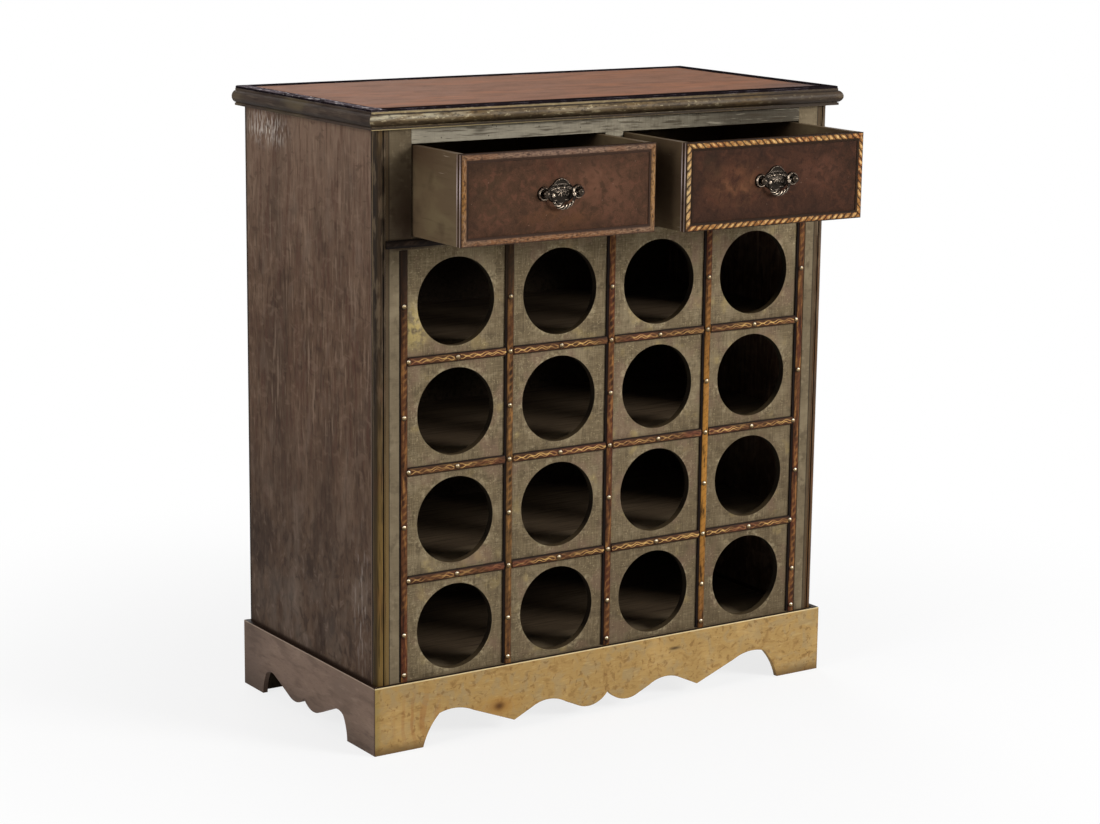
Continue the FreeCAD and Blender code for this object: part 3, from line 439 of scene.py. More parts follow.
def finish_nose_front():
    """The front edge of the top: gilded and specked, worn pale with a painted highlight at its left end, dark
    at its right, with painted shade below and in its groove.
    """
    made, streaks = wood("nose_front_finish", (98, 81, 57), (56, 44, 30), (142, 124, 94), "X",
                         patch=50, streak=4, reach=10, worn=0.7)
    flecks = made.cloud(3.4, "X", 2.5, detail=4, shift=3.3)
    upward = made.facing("Z")
    # Rubbed pale and, on faces turned up, a painted highlight: this mask carries both.
    worn = made.both(made.band(made.cloud(9, "X", 4), 0.4, 0.58), made.band(upward, -0.1, 0.4))
    made.lay(((156, 122, 66), made.cloud(60, "X", 3, shift=6.6), 0.52, 0.66, 0.4),
             ((118, 72, 46), made.cloud(34, "X", 3, shift=1.7), 0.56, 0.7, 0.35),
             ((196, 186, 158), "X", -0.16, -0.38, 0.7, worn),
             ((46, 35, 23), flecks, 0.55, 0.66, 0.65),
             ((204, 188, 148), flecks, 0.42, 0.32, 0.5),
             ((54, 43, 33), "X", 0.0, 0.36, 0.85),
             # Painted shade on the faces turned down.
             ((34, 25, 17), upward, 0.1, -0.7, 0.8),
             ((40, 30, 20), made.cells(13), 0.1, 0.04, 0.8))
    step, step_shade, groove, fillet = (made.between("Z", low * MM, high * MM, EDGE_LINE_SOFT * MM)
                                        for low, high in EDGE_LINES)
    made.lay(((168, 148, 106), "X", 0.3, -0.2, 0.6, step))
    made.tint((36, 27, 19), step_shade, 0.85)
    # Painted shade in the groove under the nose.
    made.tint((46, 36, 25), groove, 0.9)
    made.lay(((186, 166, 118), "X", 0.1, -0.3, 0.8, fillet))
    return made.done(streaks, 0.35, 0.55, 0.12)


def finish_nose_side():
    """The side edges of the top: dark, a little gilded, with painted shade on faces turned down."""
    made, streaks = wood("nose_side_finish", (62, 50, 42), (38, 30, 26), (92, 80, 68), "Y",
                         patch=50, streak=5, reach=10)
    made.lay(((102, 90, 66), made.cloud(60, "Y", 3, shift=6.6), 0.52, 0.66, 0.5),
             # Painted shade on the faces turned down.
             ((30, 22, 18), made.facing("Z"), 0.0, -0.7, 0.7))
    return made.done(streaks, 0.4, 0.6, 0.04)


PLINTH_ARRIS = (0.0966, 0.0972)
KNOT_PLACE = (-189, PLINTH_FACE, 39)
KNOT_RINGS = (((58, 9, 26), (172, 128, 62), 0.6), ((28, 9, 16), (134, 92, 44), 0.75),
              ((13, 9, 9), (84, 55, 30), 0.95))


def finish_plinth():
    """Pale worn wood: mottled ochre, specks in clusters, one knot, dark lower edges and painted shade on its
    top face.
    """
    made = Finish("plinth_finish", (162, 131, 80))
    mottles = made.cloud(24, detail=5, twist=1.0)
    grain = made.cloud(3.4, "X", 4, detail=4, twist=0.5, shift=3.1)
    clusters = made.band(made.cloud(24, shift=9.0), 0.54, 0.64)
    swirl = made.near((-322, PLINTH_FACE, 42), (66, 20, 60))
    chips = made.near((372, PLINTH_FACE, 30), (26, 9, 42))
    made.lay(((150, 129, 92), mottles, 0.47, 0.62, 0.7),
             ((184, 150, 94), made.cloud(70, twist=0.5, shift=4.1), 0.5, 0.7, 0.5),
             ((134, 101, 58), mottles, 0.44, 0.3, 0.6),
             ((124, 96, 58), grain, 0.53, 0.7, 0.35),
             ((194, 166, 114), grain, 0.44, 0.3, 0.3),
             ((116, 82, 46), made.cloud(9, detail=5, twist=0.6, shift=6.2), 0.55, 0.68, 0.6),
             ((82, 58, 32), made.cells(6), 0.16, 0.07, 0.85, clusters))
    made.dab(*[(KNOT_PLACE, *ring) for ring in KNOT_RINGS])
    made.lay(((142, 92, 50), made.waves(16, 7.0), 0.55, 0.9, 0.5, swirl),
             ((64, 46, 28), made.cells(5), 0.24, 0.12, 0.8, chips),
             ((132, 114, 60), "X", -0.382, -0.39, 0.5))
    made.dab(((120, PLINTH_FACE, 76), (17, 9, 4), (62, 46, 30), 0.9))
    made.tint((74, 52, 32), made.edges(2.0, 0.02, 0.3), 0.5)
    made.lay(((226, 206, 160), "Z", *PLINTH_ARRIS, 0.75),
             ((76, 54, 33), "Z", 0.018, 0.0, 0.7),
             # Painted shade on the top face.
             ((34, 22, 14), made.facing("Z"), 0.8, 0.95, 1.0))
    made.emboss(grain, 0.2)
    return made.done(mottles, 0.45, 0.65, 0.08)


def finish_plinth_side():
    """Side plinth boards: greyer, with a dark joint at the front corner and painted shade on the top face."""
    made, streaks = wood("plinth_side_finish", (122, 101, 87), (96, 79, 68), (138, 117, 102), "Y",
                         patch=90, streak=12, reach=4, worn=0.35)
    made.lay(((78, 64, 56), "Y", 0.16, 0.27, 0.5),
             ((60, 48, 40), "Z", 0.05, 0.0, 0.5),
             ((168, 148, 130), "Z", *PLINTH_ARRIS, 0.7),
             # Painted shade on the top face.
             ((34, 22, 15), made.facing("Z"), 0.8, 0.95, 1.0),
             ((58, 34, 24), "Y", (PLINTH_FACE + 3.5) * MM, (PLINTH_FACE + 1) * MM, 0.8))
    return made.done(streaks, 0.4, 0.6, 0.06)


def finish_inner():
    """Dark wood that is seen only through the holes."""
    made, streaks = wood("inner_finish", (50, 40, 30), (30, 23, 16), (68, 56, 42), "Y", worn=0.2)
    return made.done(streaks, 0.6, 0.8, 0.06)


def finish_shelf():
    """Paler wood under the bottles, with a pool of painted light along the front."""
    made, streaks = wood("shelf_finish", (84, 70, 54), (56, 45, 34), (106, 90, 71), "X", worn=0.2)
    # Painted light: the front of each shelf laid paler.
    made.lay(((150, 132, 104), "Y", 0.0, -0.05, 0.5))
    return made.done(streaks, 0.6, 0.8, 0.06)


def finish_drawer():
    """Smooth drawer wood: cloudy olive brown with faint grain, a few pale scratches, and a painted shadow on
    the right drawer's left side.
    """
    made = Finish("drawer_finish", (92, 76, 57))
    grain = made.cloud(5, "Y", 12, detail=4, shift=3.1)
    scratch = made.cloud(1.6, "Y", 26, detail=1, twist=0.3, shift=3.7)
    made.lay(((110, 97, 71), made.cloud(60, "Y", 1.5, twist=0.5), 0.46, 0.7, 0.6),
             ((72, 57, 43), made.cloud(34, shift=2.1), 0.5, 0.72, 0.5),
             ((70, 56, 42), grain, 0.54, 0.72, 0.3),
             ((176, 162, 142), scratch, 0.68, 0.74, 0.7, made.band(made.cloud(40, shift=8.8), 0.55, 0.65)))
    made.tint((132, 116, 96), made.edges(1.4), 0.2)
    made.dab(((-329.5, -120, 846), (30, 120, 66), (60, 43, 31), 0.65),
             # Painted shadow: the left drawer's shadow on the right drawer's left side.
             ((16.5, -190, 787), (14, 150, 110), (34, 24, 17), 0.7))
    made.emboss(grain, 0.12)
    return made.done(grain, 0.38, 0.55, 0.03)


FRONT_LINE = 0.8
FRONT_ARRIS = 2.4
FRONT_SOFT = 0.5


def finish_drawer_front(hand):
    """The board behind the leather: pale arrises with a painted highlight on the left one, and a dark line
    along the middle of its edge.
    """
    made, streaks = wood(f"{hand}_drawer_front_finish", (80, 63, 50), (54, 41, 32), (108, 90, 74), "X",
                         worn=0.3)
    low, high = box_mm(f"{hand}_drawer_front")
    middle = (low[1] + high[1]) / 2
    line = made.between("Y", (middle - FRONT_LINE) * MM, (middle + FRONT_LINE) * MM, FRONT_SOFT * MM)
    core = made.between("Y", (low[1] + FRONT_ARRIS) * MM, (high[1] - FRONT_ARRIS) * MM, FRONT_SOFT * MM)
    aside = made.band(made.math("ABSOLUTE", made.facing("X")), 0.5, 0.8)
    arris = made.both(made.math("SUBTRACT", 1.0, core), aside)
    made.lay(((42, 31, 25), made.facing("Z"), 0.7, 0.9, 0.8))
    made.tint((160, 141, 132), arris, 0.65)
    # Painted highlight on the left arris.
    made.tint((228, 210, 208), made.both(arris, made.near((low[0], middle, 805), (30, 30, 42))), 0.8)
    made.tint((30, 22, 18), line, 0.8)
    return made.done(streaks, 0.35, 0.5, 0.0)


def finish_top():
    """Leather of the top: brushed across, orange in places, grey at its right end."""
    made, stains = leather("top_finish", (134, 95, 74), (106, 78, 63), (152, 101, 74), "X")
    brushed = made.cloud(8, "X", 9, detail=5, shift=2.9)
    orange = made.both(made.band(made.cloud(90, "X", 2, shift=5.7), 0.5, 0.68), made.band(brushed, 0.35, 0.6))
    made.lay(((150, 112, 90), brushed, 0.52, 0.7, 0.4),
             ((98, 72, 58), brushed, 0.44, 0.28, 0.4))
    made.tint((168, 108, 73), orange, 0.4)
    made.tint((166, 106, 70), made.both(made.near((-310, -40, 899), (150, 130, 20)), orange), 0.6)
    made.dab(((392, -106, 899), (150, 96, 20), (90, 79, 78), 1.0))
    return made.done(stains, 0.5, 0.7, 0.01)


BORDER_LEAN = -0.0118


def finish_border():
    """Dark border leather: a painted reflection on its left strip, painted highlights and wear on its edges,
    its front strip brown within a slanting line.
    """
    made, stains = leather("border_finish", (26, 21, 23), (18, 14, 16), (42, 35, 38))
    # Mask of a painted reflection: the top of the left strip laid pale and broken with white.
    left = made.both(made.band("X", -0.377, -0.381), made.band(made.facing("Z"), 0.5, 0.9))
    slant = made.math("ADD", made.along("Y"), made.math("MULTIPLY", made.along("X"), BORDER_LEAN))
    front = made.both(made.band("Y", 0.0, -0.05), made.between("X", -0.374, 0.37, 0.004))
    made.lay(((112, 102, 108), made.cloud(9, "Y", 4), 0.36, 0.56, 0.8, left),
             ((204, 196, 196), made.cloud(5, "Y", 3, detail=2, shift=3.0), 0.56, 0.64, 0.75, left),
             ((130, 92, 72), slant, -0.1082, -0.1068, 0.9, front),
             # Painted highlight along the rolled edges, partly wear.
             ((132, 122, 130), stains, 0.48, 0.6, 0.6, made.edges(1.8)))
    return made.done(stains, 0.5, 0.7, 0.0)


def finish_drawer_leather(hand, ground, dark, light, patches):
    """Leather of a drawer front: mottled, darker towards its edges, with broad rubbed patches.

    A patch is its place across and up from the middle, its reach both ways, its colour and its share.
    """
    made, stains = leather(f"{hand}_drawer_leather_finish", ground, dark, light, cloudy=60)
    low, high = box_mm(f"{hand}_drawer_leather")
    broken = made.band(made.cloud(18, detail=6, twist=0.4, shift=6.4), 0.28, 0.7)
    for across, up, (wide, tall), shade, share in patches:
        spot = made.near((low + high) / 2 + (across, 0, up), (wide, 20, tall))
        made.tint(shade, made.both(spot, broken), share)
    mottles = made.cloud(11, detail=6, twist=0.8, shift=2.7)
    made.lay((dark, mottles, 0.51, 0.66, 0.55),
             (light, mottles, 0.46, 0.33, 0.6))
    made.tint((40, 29, 23), made.both(made.mark("margin"), broken), 0.5)
    made.lay(((30, 22, 17), made.cells(10), 0.09, 0.03, 0.7),
             ((138, 110, 92), made.cells(17), 0.05, 0.02, 0.6))
    return made.done(stains, 0.5, 0.66, 0.03)


def finish_braid(name, cord, bright, rust, edge, grain=None, lobes=0.0, shine=0.85, streaky=0.7, spots=(),
                 painted_shadows=()):
    """Leather cord on a strip: rubbed along its crests, streaked, dark between its lobes and at its edges,
    partly as painted shade, with any painted shadows laid last.
    """
    made = Finish(name, cord)
    crest = made.mark("crest")
    wear = made.cloud(26, grain, 2.5, shift=3.9)
    streaks = made.cloud(5, grain, 6, detail=4, shift=2.4)
    made.lay((rust, made.cloud(50, grain, 2, detail=2, shift=8.1), 0.48, 0.62, 0.75))
    made.dab(*spots)
    made.lay((edge, streaks, 0.51, 0.66, streaky),
             (bright, streaks, 0.47, 0.32, 0.8 * streaky),
             (bright, crest, 0.62, 0.95, shine, made.band(wear, 0.4, 0.6)),
             (edge, made.cloud(3, detail=4, shift=1.1), 0.56, 0.7, 0.4),
             (edge, crest, 0.5, 0.14, lobes),
             # Dark margins and side faces: partly the leather's own dark edge, partly painted shade on the
             # sides.
             (edge, made.mark("cord"), 0.6, 0.15, 1.0))
    # Painted shadows, laid over everything else.
    made.dab(*painted_shadows)
    made.emboss(made.cloud(1.2, detail=2), 0.15)
    return made.done(wear, 0.45, 0.6, 0.05)


def finish_brass():
    """Domed nails: a painted highlight on top, painted shade on the underside, tarnished round the foot."""
    made = Finish("nail_finish", (134, 114, 82))
    tarnish = made.cloud(3, detail=4)
    upward = made.facing("Z")
    made.lay(((84, 64, 38), tarnish, 0.48, 0.7, 0.7),
             # Painted highlight on faces turned up, painted shade on faces turned down.
             ((240, 230, 206), upward, 0.25, 0.65, 0.85),
             ((52, 38, 24), upward, 0.0, -0.6, 0.8),
             ((40, 28, 18), "Y", (STRIP_FACE - 1.2) * MM, (STRIP_FACE - 0.3) * MM, 0.95))
    made.emboss(tarnish, 0.08)
    return made.done(tarnish, 0.2, 0.42, metallic=1.0)


def finish_bronze():
    """Dark cast bronze, rubbed bright along its crests."""
    made = Finish("pull_finish", (37, 31, 25))
    patina = made.cloud(4, detail=4)
    made.lay(((20, 16, 13), patina, 0.5, 0.7, 0.7),
             ((192, 174, 154), made.mark("crest"), 0.55, 0.95, 0.75, made.band(patina, 0.3, 0.55)))
    made.emboss(patina, 0.1)
    return made.done(patina, 0.16, 0.36, metallic=0.9)


def finish_posts():
    """Polished dark balls, tarnished in small spots."""
    made = Finish("post_finish", (62, 54, 46))
    tarnish = made.cloud(2.4, shift=1.8)
    made.lay(((26, 21, 17), tarnish, 0.5, 0.66, 0.7))
    made.emboss(tarnish, 0.05)
    return made.done(tarnish, 0.1, 0.26, metallic=1.0)


finishes = {
    "side_wood": finish_side(),
    "frame_wood": finish_frame(),
    "rack_linen": finish_rack(),
    "moulding_wood": finish_corner(),
    "plinth_wood": finish_plinth(),
    "plinth_side_wood": finish_plinth_side(),
    "inner_wood": finish_inner(),
    "drawer_wood": finish_drawer(),
    "top_leather": finish_top(),
    "border_leather": finish_border(),
    "nail_brass": finish_brass(),
    "pull_bronze": finish_bronze(),
}
node_finishes = {f"{hand}_drawer_front": finish_drawer_front(hand) for hand in HANDS}
for finish, *names in ((finish_nose_front(), "top_edge_front"),
                       (finish_rail(), "top_rail", "centre_stile"),
                       (finish_nose_side(), "top_edge_left", "top_edge_right"),
                       (finish_posts(), "left_pull_posts", "right_pull_posts"),
                       (finish_shelf(), "bottom_board", *[f"bottle_shelf_{count}" for count in (1, 2, 3)])):
    node_finishes.update(dict.fromkeys(names, finish))

UPRIGHT_SPOTS = [
    ((-171.5, STRIP_FACE, 330), (30, 40, 320), (104, 80, 46), 0.6),
    ((171.5, STRIP_FACE, 350), (30, 40, 330), (166, 116, 50), 0.95),
]
# Painted shadows of the drawers on the tops of the two left uprights.
UPRIGHT_PAINTED_SHADOWS = [
    ((-343, STRIP_FACE, 700), (30, 40, 170), (34, 24, 17), 1.0),
    ((-171.5, STRIP_FACE, 690), (30, 40, 150), (44, 33, 21), 0.9),
]
upright_finish = finish_braid("upright_finish", (88, 55, 33), (158, 112, 62), (84, 45, 30), (25, 18, 15), "Z",
                              lobes=0.2, shine=0.35, streaky=0.75, spots=UPRIGHT_SPOTS, painted_shadows=UPRIGHT_PAINTED_SHADOWS)
cross_finish = finish_braid("cross_finish", (98, 64, 40), (206, 166, 100), (112, 66, 48), (34, 23, 17), "X",
                            lobes=0.5, shine=0.95, streaky=0.4)
# Near-black cord on the rail under the drawers: partly its own dark leather, partly painted shade from the
# drawers above.
rail_strip_finish = finish_braid("rail_strip_finish", (30, 22, 17), (58, 45, 35), (28, 20, 15), (20, 15, 12),
                                 "X", shine=0.5)
drawer_finishes = {
    "left": finish_drawer_leather("left", (75, 52, 38), (54, 40, 29), (93, 61, 46), [
        (-110, 0, (60, 70), (62, 48, 34), 0.8), (60, 10, (90, 60), (105, 72, 55), 0.8),
        (0, -34, (90, 26), (104, 68, 42), 0.6), (-20, 36, (40, 26), (106, 60, 45), 0.5)]),
    "right": finish_drawer_leather("right", (58, 38, 28), (43, 30, 23), (76, 47, 34), [
        (-66, -2, (74, 44), (108, 72, 49), 0.85), (78, 10, (62, 44), (92, 60, 46), 0.8),
        (10, 26, (40, 20), (78, 50, 37), 0.5), (-118, 22, (30, 30), (47, 42, 29), 0.6)]),
}


def trim_spots(hand, *spots):
    """Spots on a drawer trim, whose places are given across and up as shares of its box."""
    low, high = box_mm(f"{hand}_drawer_trim")
    return [(low + (high - low) * (across, 0, up), *spot) for across, up, *spot in spots]


trim_finishes = {
    "left": finish_braid("left_trim_finish", (112, 87, 68), (146, 118, 94), (122, 82, 52), (58, 42, 33),
                         lobes=0.35, shine=0.6, spots=trim_spots(
                             "left", (0.5, 1, (190, 60, 24), (122, 97, 84), 0.8),
                             (0, 0.5, (16, 60, 90), (146, 102, 48), 0.9),
                             (0.5, 0, (190, 60, 24), (130, 86, 50), 0.8),
                             (1, 0.5, (16, 60, 90), (158, 119, 68), 0.95))),
    "right": finish_braid("right_trim_finish", (148, 103, 56), (214, 176, 116), (140, 82, 44), (44, 31, 22),
                          lobes=0.9, spots=trim_spots(
                              "right", (0, 0.5, (16, 60, 84), (182, 158, 116), 0.9),
                              (0.5, 0, (190, 60, 24), (138, 90, 46), 0.8))),
}

EDGE_WIDTHS = {"side_wood": 0.8, "frame_wood": 0.7, "rack_linen": 0.6, "moulding_wood": 0.35,
               "plinth_wood": 1.0, "plinth_side_wood": 1.0, "inner_wood": 0.6, "drawer_wood": 0.8}
SHARP_ANGLE = math.radians(35)


def dress(name):
    """Gives a CAD node its finish and, where it is a board, softened edges."""
    piece = nodes[name]
    slot = slot_of[name]
    finish = node_finishes.get(name) or finishes.get(slot)
    if finish:
        piece.material_slots[0].material = finish
    if slot in EDGE_WIDTHS:
        piece.modifiers.new("weld", "WELD").merge_threshold = WELD
        bevel = piece.modifiers.new("soft_edges", "BEVEL")
        bevel.width = EDGE_WIDTHS[slot] * MM
        bevel.segments = 2
        bevel.limit_method = "ANGLE"
        bevel.angle_limit = SHARP_ANGLE
        piece.modifiers.new("even_normals", "WEIGHTED_NORMAL")


for node_name in nodes:
    dress(node_name)


def welded(name):
    """A working copy of a CAD node's mesh, with its points joined."""
    work = bmesh.new()
    work.from_mesh(nodes[name].data)
    bmesh.ops.remove_doubles(work, verts=work.verts, dist=WELD)
    return work


def solid_boxes(name):
    """Lowest and highest corner of each separate solid of a CAD node, in millimetres."""
    work = welded(name)
    left = set(work.verts)
    found = []
    while left:
        reach = [left.pop()]
        group = []
        while reach:
            corner = reach.pop()
            group.append(corner.co / MM)
            beyond = {edge.other_vert(corner) for edge in corner.link_edges} & left
            left -= beyond
            reach += beyond
        group = np.array(group)
        found.append((group.min(0), group.max(0)))
    work.free()
    return sorted(found, key=lambda box: [round(value, 2) for value in (*box[0], *box[1])])


class Shell:
    """Points, faces and marks of a piece that is put together from closed sheets."""

    def __init__(self):
        self.points = []
        self.faces = []
        self.marks = {}
        self.count = 0

    def add(self, points, faces, **marks):
        self.faces += [[corner + self.count for corner in face] for face in faces]
        self.points.append(np.asarray(points, float))
        self.count += len(points)
        for name, values in marks.items():
            self.marks.setdefault(name, []).append(np.asarray(values, float))

    def sheet(self, face, left, right, **marks):
        """A grid of face points, closed by its foot lines along the left and right edge."""
        rows, columns = face.shape[:2]
        size = rows * columns
        index = np.arange(size).reshape(rows, columns)
        feet = size + np.arange(rows * 2).reshape(2, rows)
        faces = []
        for row in range(rows - 1):
            here, beyond = index[row], index[row + 1]
            for column in range(columns - 1):
                faces.append([here[column], here[column + 1], beyond[column + 1], beyond[column]])
            faces.append([feet[0][row], here[0], beyond[0], feet[0][row + 1]])
            faces.append([here[-1], feet[1][row], feet[1][row + 1], beyond[-1]])
            faces.append([feet[1][row], feet[0][row], feet[0][row + 1], feet[1][row + 1]])
        faces.append([feet[0][0], feet[1][0], *index[0][::-1]])
        faces.append([feet[1][-1], feet[0][-1], *index[-1]])
        spare = np.zeros(rows * 2)
        padded = {name: np.concatenate([values.ravel(), spare]) for name, values in marks.items()}
        self.add(np.concatenate([face.reshape(-1, 3), left, right]), faces, **padded)

    def piece(self, name, body, slot, finish, replaced, crease=40):
        """Makes the object, on its body, in place of a CAD node; slot is not used."""
        mesh = bpy.data.meshes.new(name)
        points = np.concatenate(self.points) * MM
        mesh.from_pydata([tuple(point) for point in points], [], self.faces)
        for mark, values in self.marks.items():
            stored = mesh.attributes.new(mark, "FLOAT", "POINT")
            stored.data.foreach_set("value", np.concatenate(values).astype(np.float32))
        work = bmesh.new()
        work.from_mesh(mesh)
        bmesh.ops.recalc_face_normals(work, faces=work.faces)
        work.to_mesh(mesh)
        work.free()
        mesh.shade_smooth()
        mesh.set_sharp_from_angle(angle=math.radians(crease))
        mesh.materials.append(finish)
        made = bpy.data.objects.new(name, mesh)
        bpy.context.scene.collection.objects.link(made)
        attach(made, body)
        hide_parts(replaced)


def smooth(value, low, high):
    """0 at low and 1 at high, smooth between them."""
    share = np.clip((value - low) / (high - low), 0, 1)
    return share * share * (3 - 2 * share)


def ridge(value, width, height=1.0):
    """Full height at zero, falling away to both sides."""
    return height * np.exp(-(value / width) ** 2)


STRIP_STEP = 1.0
STRIP_COLUMNS = 20
NAIL_SEAT = (3.8, 5.6)
PLY_POWER = 1.5
ROLL_POWER = 6
CHAIN_PLACE = 0.28
CHAIN_SWING = 0.3
CHAIN_WIDTH = 0.24
SHORT_WAVE = 0.82
LIP_RISE = (0.72, 0.82)
LIP_FALL = (0.93, 1.0)
LIP_CREST = 0.8


def strip(shell, start, along, across, size, out=FRONT, cord=0.7, middle=0.0, rise=1.6, twist=0.5, pitch=15.5,
          chain=False, roll=0.6, mitre=0.0, lip=0.0, nails=()):
    """A leather strip with a cord along it: it starts at a corner of its back and faces out.

    size is its length, width and thickness. cord and middle are shares of its half width. The cord rises
    over the margins, twist is the depth of its pattern and pitch the length: twisted plies, or a loose chain
    of two wavy lines side by side. lip is the height of a ridge at the far edge.
    """
    along, across, out = (np.array(way) for way in (along, across, out))
    length, width, thickness = size
    rows = max(2, round(length / STRIP_STEP))
    side = np.linspace(-1, 1, STRIP_COLUMNS + 1)[None, :]
    inset = (side + 1) / 2 * width * mitre
    run = inset + np.linspace(0, 1, rows + 1)[:, None] * (length - inset * 2)
    reach = np.clip((side - middle) / cord, -1, 1)
    body = np.sqrt(1 - reach ** 2)
    if chain:
        lines = [place + CHAIN_SWING * np.sin(2 * math.pi * run / turn)
                 for place, turn in ((CHAIN_PLACE, pitch), (-CHAIN_PLACE, -pitch * SHORT_WAVE))]
        shape = np.maximum(*[ridge(reach - line, CHAIN_WIDTH) for line in lines])
    else:
        beat = run / pitch - np.arcsin(reach) / math.pi
        shape = 1 - np.abs(2 * (beat - np.round(beat))) ** PLY_POWER
    margin = thickness - rise - roll * side ** ROLL_POWER
    height = margin + rise * body * (1 - twist * (1 - shape))
    crest = body * shape
    if lip:
        fold = smooth(side, *LIP_RISE) * (1 - smooth(side, *LIP_FALL))
        height = height + lip * fold
        crest = np.maximum(crest, LIP_CREST * fold)
    for nail_run, nail_side in nails:
        clear = smooth(np.hypot(run - nail_run, (side - nail_side) * width / 2), *NAIL_SEAT)
        height = thickness + (height - thickness) * clear
        crest = crest * clear
    base = np.array(start) + run[..., None] * along + ((side + 1) / 2 * width)[..., None] * across
    face = base + height[..., None] * out
    shell.sheet(face, base[:, 0], base[:, -1], crest=crest, cord=np.broadcast_to(body, height.shape))


nail_boxes = solid_boxes("strip_nails")


def nails_on(low, high, along, across):
    """Places of the nails on a strip: run from its start, and side from -1 to 1."""
    found = []
    for nail_low, nail_high in nail_boxes:
        middle = (nail_low + nail_high) / 2
        if np.all(middle[[0, 2]] > low[[0, 2]]) and np.all(middle[[0, 2]] < high[[0, 2]]):
            share = (middle - low)[across] / (high - low)[across]
            found.append(((middle - low)[along], share * 2 - 1))
    return found


def straight_strips(node, name, finish, upright, **profile):
    """Every strip of a CAD node as a corded strip, running up or to the right."""
    shell = Shell()
    for low, high in solid_boxes(node):
        wide, deep, tall = high - low
        if upright:
            ways, size, axes = (UP, RIGHT), (tall, wide, deep), (2, 0)
        else:
            ways, size, axes = (RIGHT, UP), (wide, tall, deep), (0, 2)
        strip(shell, (low[0], high[1], low[2]), *ways, size, nails=nails_on(low, high, *axes), **profile)
    shell.piece(name, "carcass", "strip_leather", finish, node)


straight_strips("upright_strips", "corded_upright_strips", upright_finish, True, cord=0.8, middle=0.14,
                rise=2.4, twist=0.12, pitch=11)
straight_strips("cross_strips", "corded_cross_strips", cross_finish, False, cord=0.86, rise=1.2, twist=0.3,
                pitch=20, chain=True)
straight_strips("rail_strip", "corded_rail_strip", rail_strip_finish, False, cord=0.74, rise=1.0, twist=0.3)


def frame_strips(shell, low, high, axes, out, width, **profile):
    """Four mitred strips round a rectangle, across one axis and up the other, with level backs."""
    first, second = axes
    wide, tall = (high - low)[[first, second]]
    normal = np.array(out)
    deep = abs(normal @ (high - low))
    back = np.where(normal > 0, low, high)
    ways = np.eye(3)
    near = np.where(normal != 0, back, low)
    for along, across, length, far in ((first, second, wide, tall), (second, first, tall, wide)):
        size = (length, width, deep)
        strip(shell, near, ways[along], ways[across], size, out, mitre=1.0, **profile)
        strip(shell, near + ways[across] * far, ways[along], -ways[across], size, out, mitre=1.0, **profile)


TRIM_CORDS = {"left": {"twist": 0.5, "pitch": 20, "chain": True}, "right": {"twist": 0.75, "pitch": 11.5}}


def drawer_trim(hand):
    """The corded trim round a drawer front, with a thin lip along the leather."""
    node = f"{hand}_drawer_trim"
    low, high = box_mm(node)
    shell = Shell()
    width = box_mm(f"{hand}_drawer_leather")[0][0] - low[0]
    frame_strips(shell, low, high, (0, 2), FRONT, width, cord=0.64, middle=-0.2, rise=1.3, lip=0.8,
                 **TRIM_CORDS[hand])
    shell.piece(f"{hand}_drawer_braid", f"{hand}_drawer", "trim_leather", trim_finishes[hand], node)


def top_border():
    """The dark strips round the leather of the top, rolled at their edges."""
    low, high = box_mm("top_border")
    shell = Shell()
    frame_strips(shell, low, high, (0, 1), UP, box_mm("top_leather")[0][0] - low[0], rise=0.0, roll=1.2)
    shell.piece("top_border_strips", "carcass", "border_leather", finishes["border_leather"], "top_border")


top_border()

FIELD_WAVES = ((45, 1.0), (12, 0.35))
FIELD_SLICE = 7
FIELD_ROLL = 3.5
FIELD_ROLL_SHARE = 0.45
FIELD_MARGIN = 26
FIELD_SEAT = (1.0, 1.25)


def field(node, body, slot, finish, name, ways, step, sink, flat=None):
    """A sheet of leather: rolled at its edges and a little uneven, flat round a place if given."""
    low, high = box_mm(node)
    along, across, out = (np.array(way) for way in ways)
    length, width, thick = (abs((high - low) @ way) for way in (along, across, out))
    start = np.where((along + across + out) > 0, low, high)
    run = np.linspace(0, length, round(length / step) + 1)[:, None]
    side = np.linspace(0, width, round(width / step) + 1)[None, :]
    edge = np.minimum(np.minimum(run, length - run), np.minimum(side, width - side))
    (broad, broad_share), (fine, fine_share) = FIELD_WAVES
    wave = np.array([[noise.noise(Vector((r, s, length)) / broad) * broad_share
                      + noise.noise(Vector((r, s, FIELD_SLICE)) / fine) * fine_share
                      for s in side[0]] for r in run[:, 0]])
    roll = 1 - smooth(edge, 0, FIELD_ROLL)
    drop = sink * (0.5 + 0.5 * np.clip(wave, -1, 1)) + (thick * FIELD_ROLL_SHARE - sink) * roll
    if flat:
        (flat_run, flat_side), reach = flat
        away = np.hypot((run - flat_run) / reach[0], (side - flat_side) / reach[1])
        drop = drop * smooth(away, *FIELD_SEAT)
    base = start + run[..., None] * along + side[..., None] * across
    face = base + (thick - drop)[..., None] * out
    shell = Shell()
    shell.sheet(face, base[:, 0], base[:, -1], margin=1 - smooth(edge, 0, FIELD_MARGIN))
    shell.piece(name, body, slot, finish, node, crease=60)


field("top_leather", "carcass", "top_leather", finishes["top_leather"], "top_leather_field",
      (RIGHT, BACK, UP), step=5.0, sink=0.5)

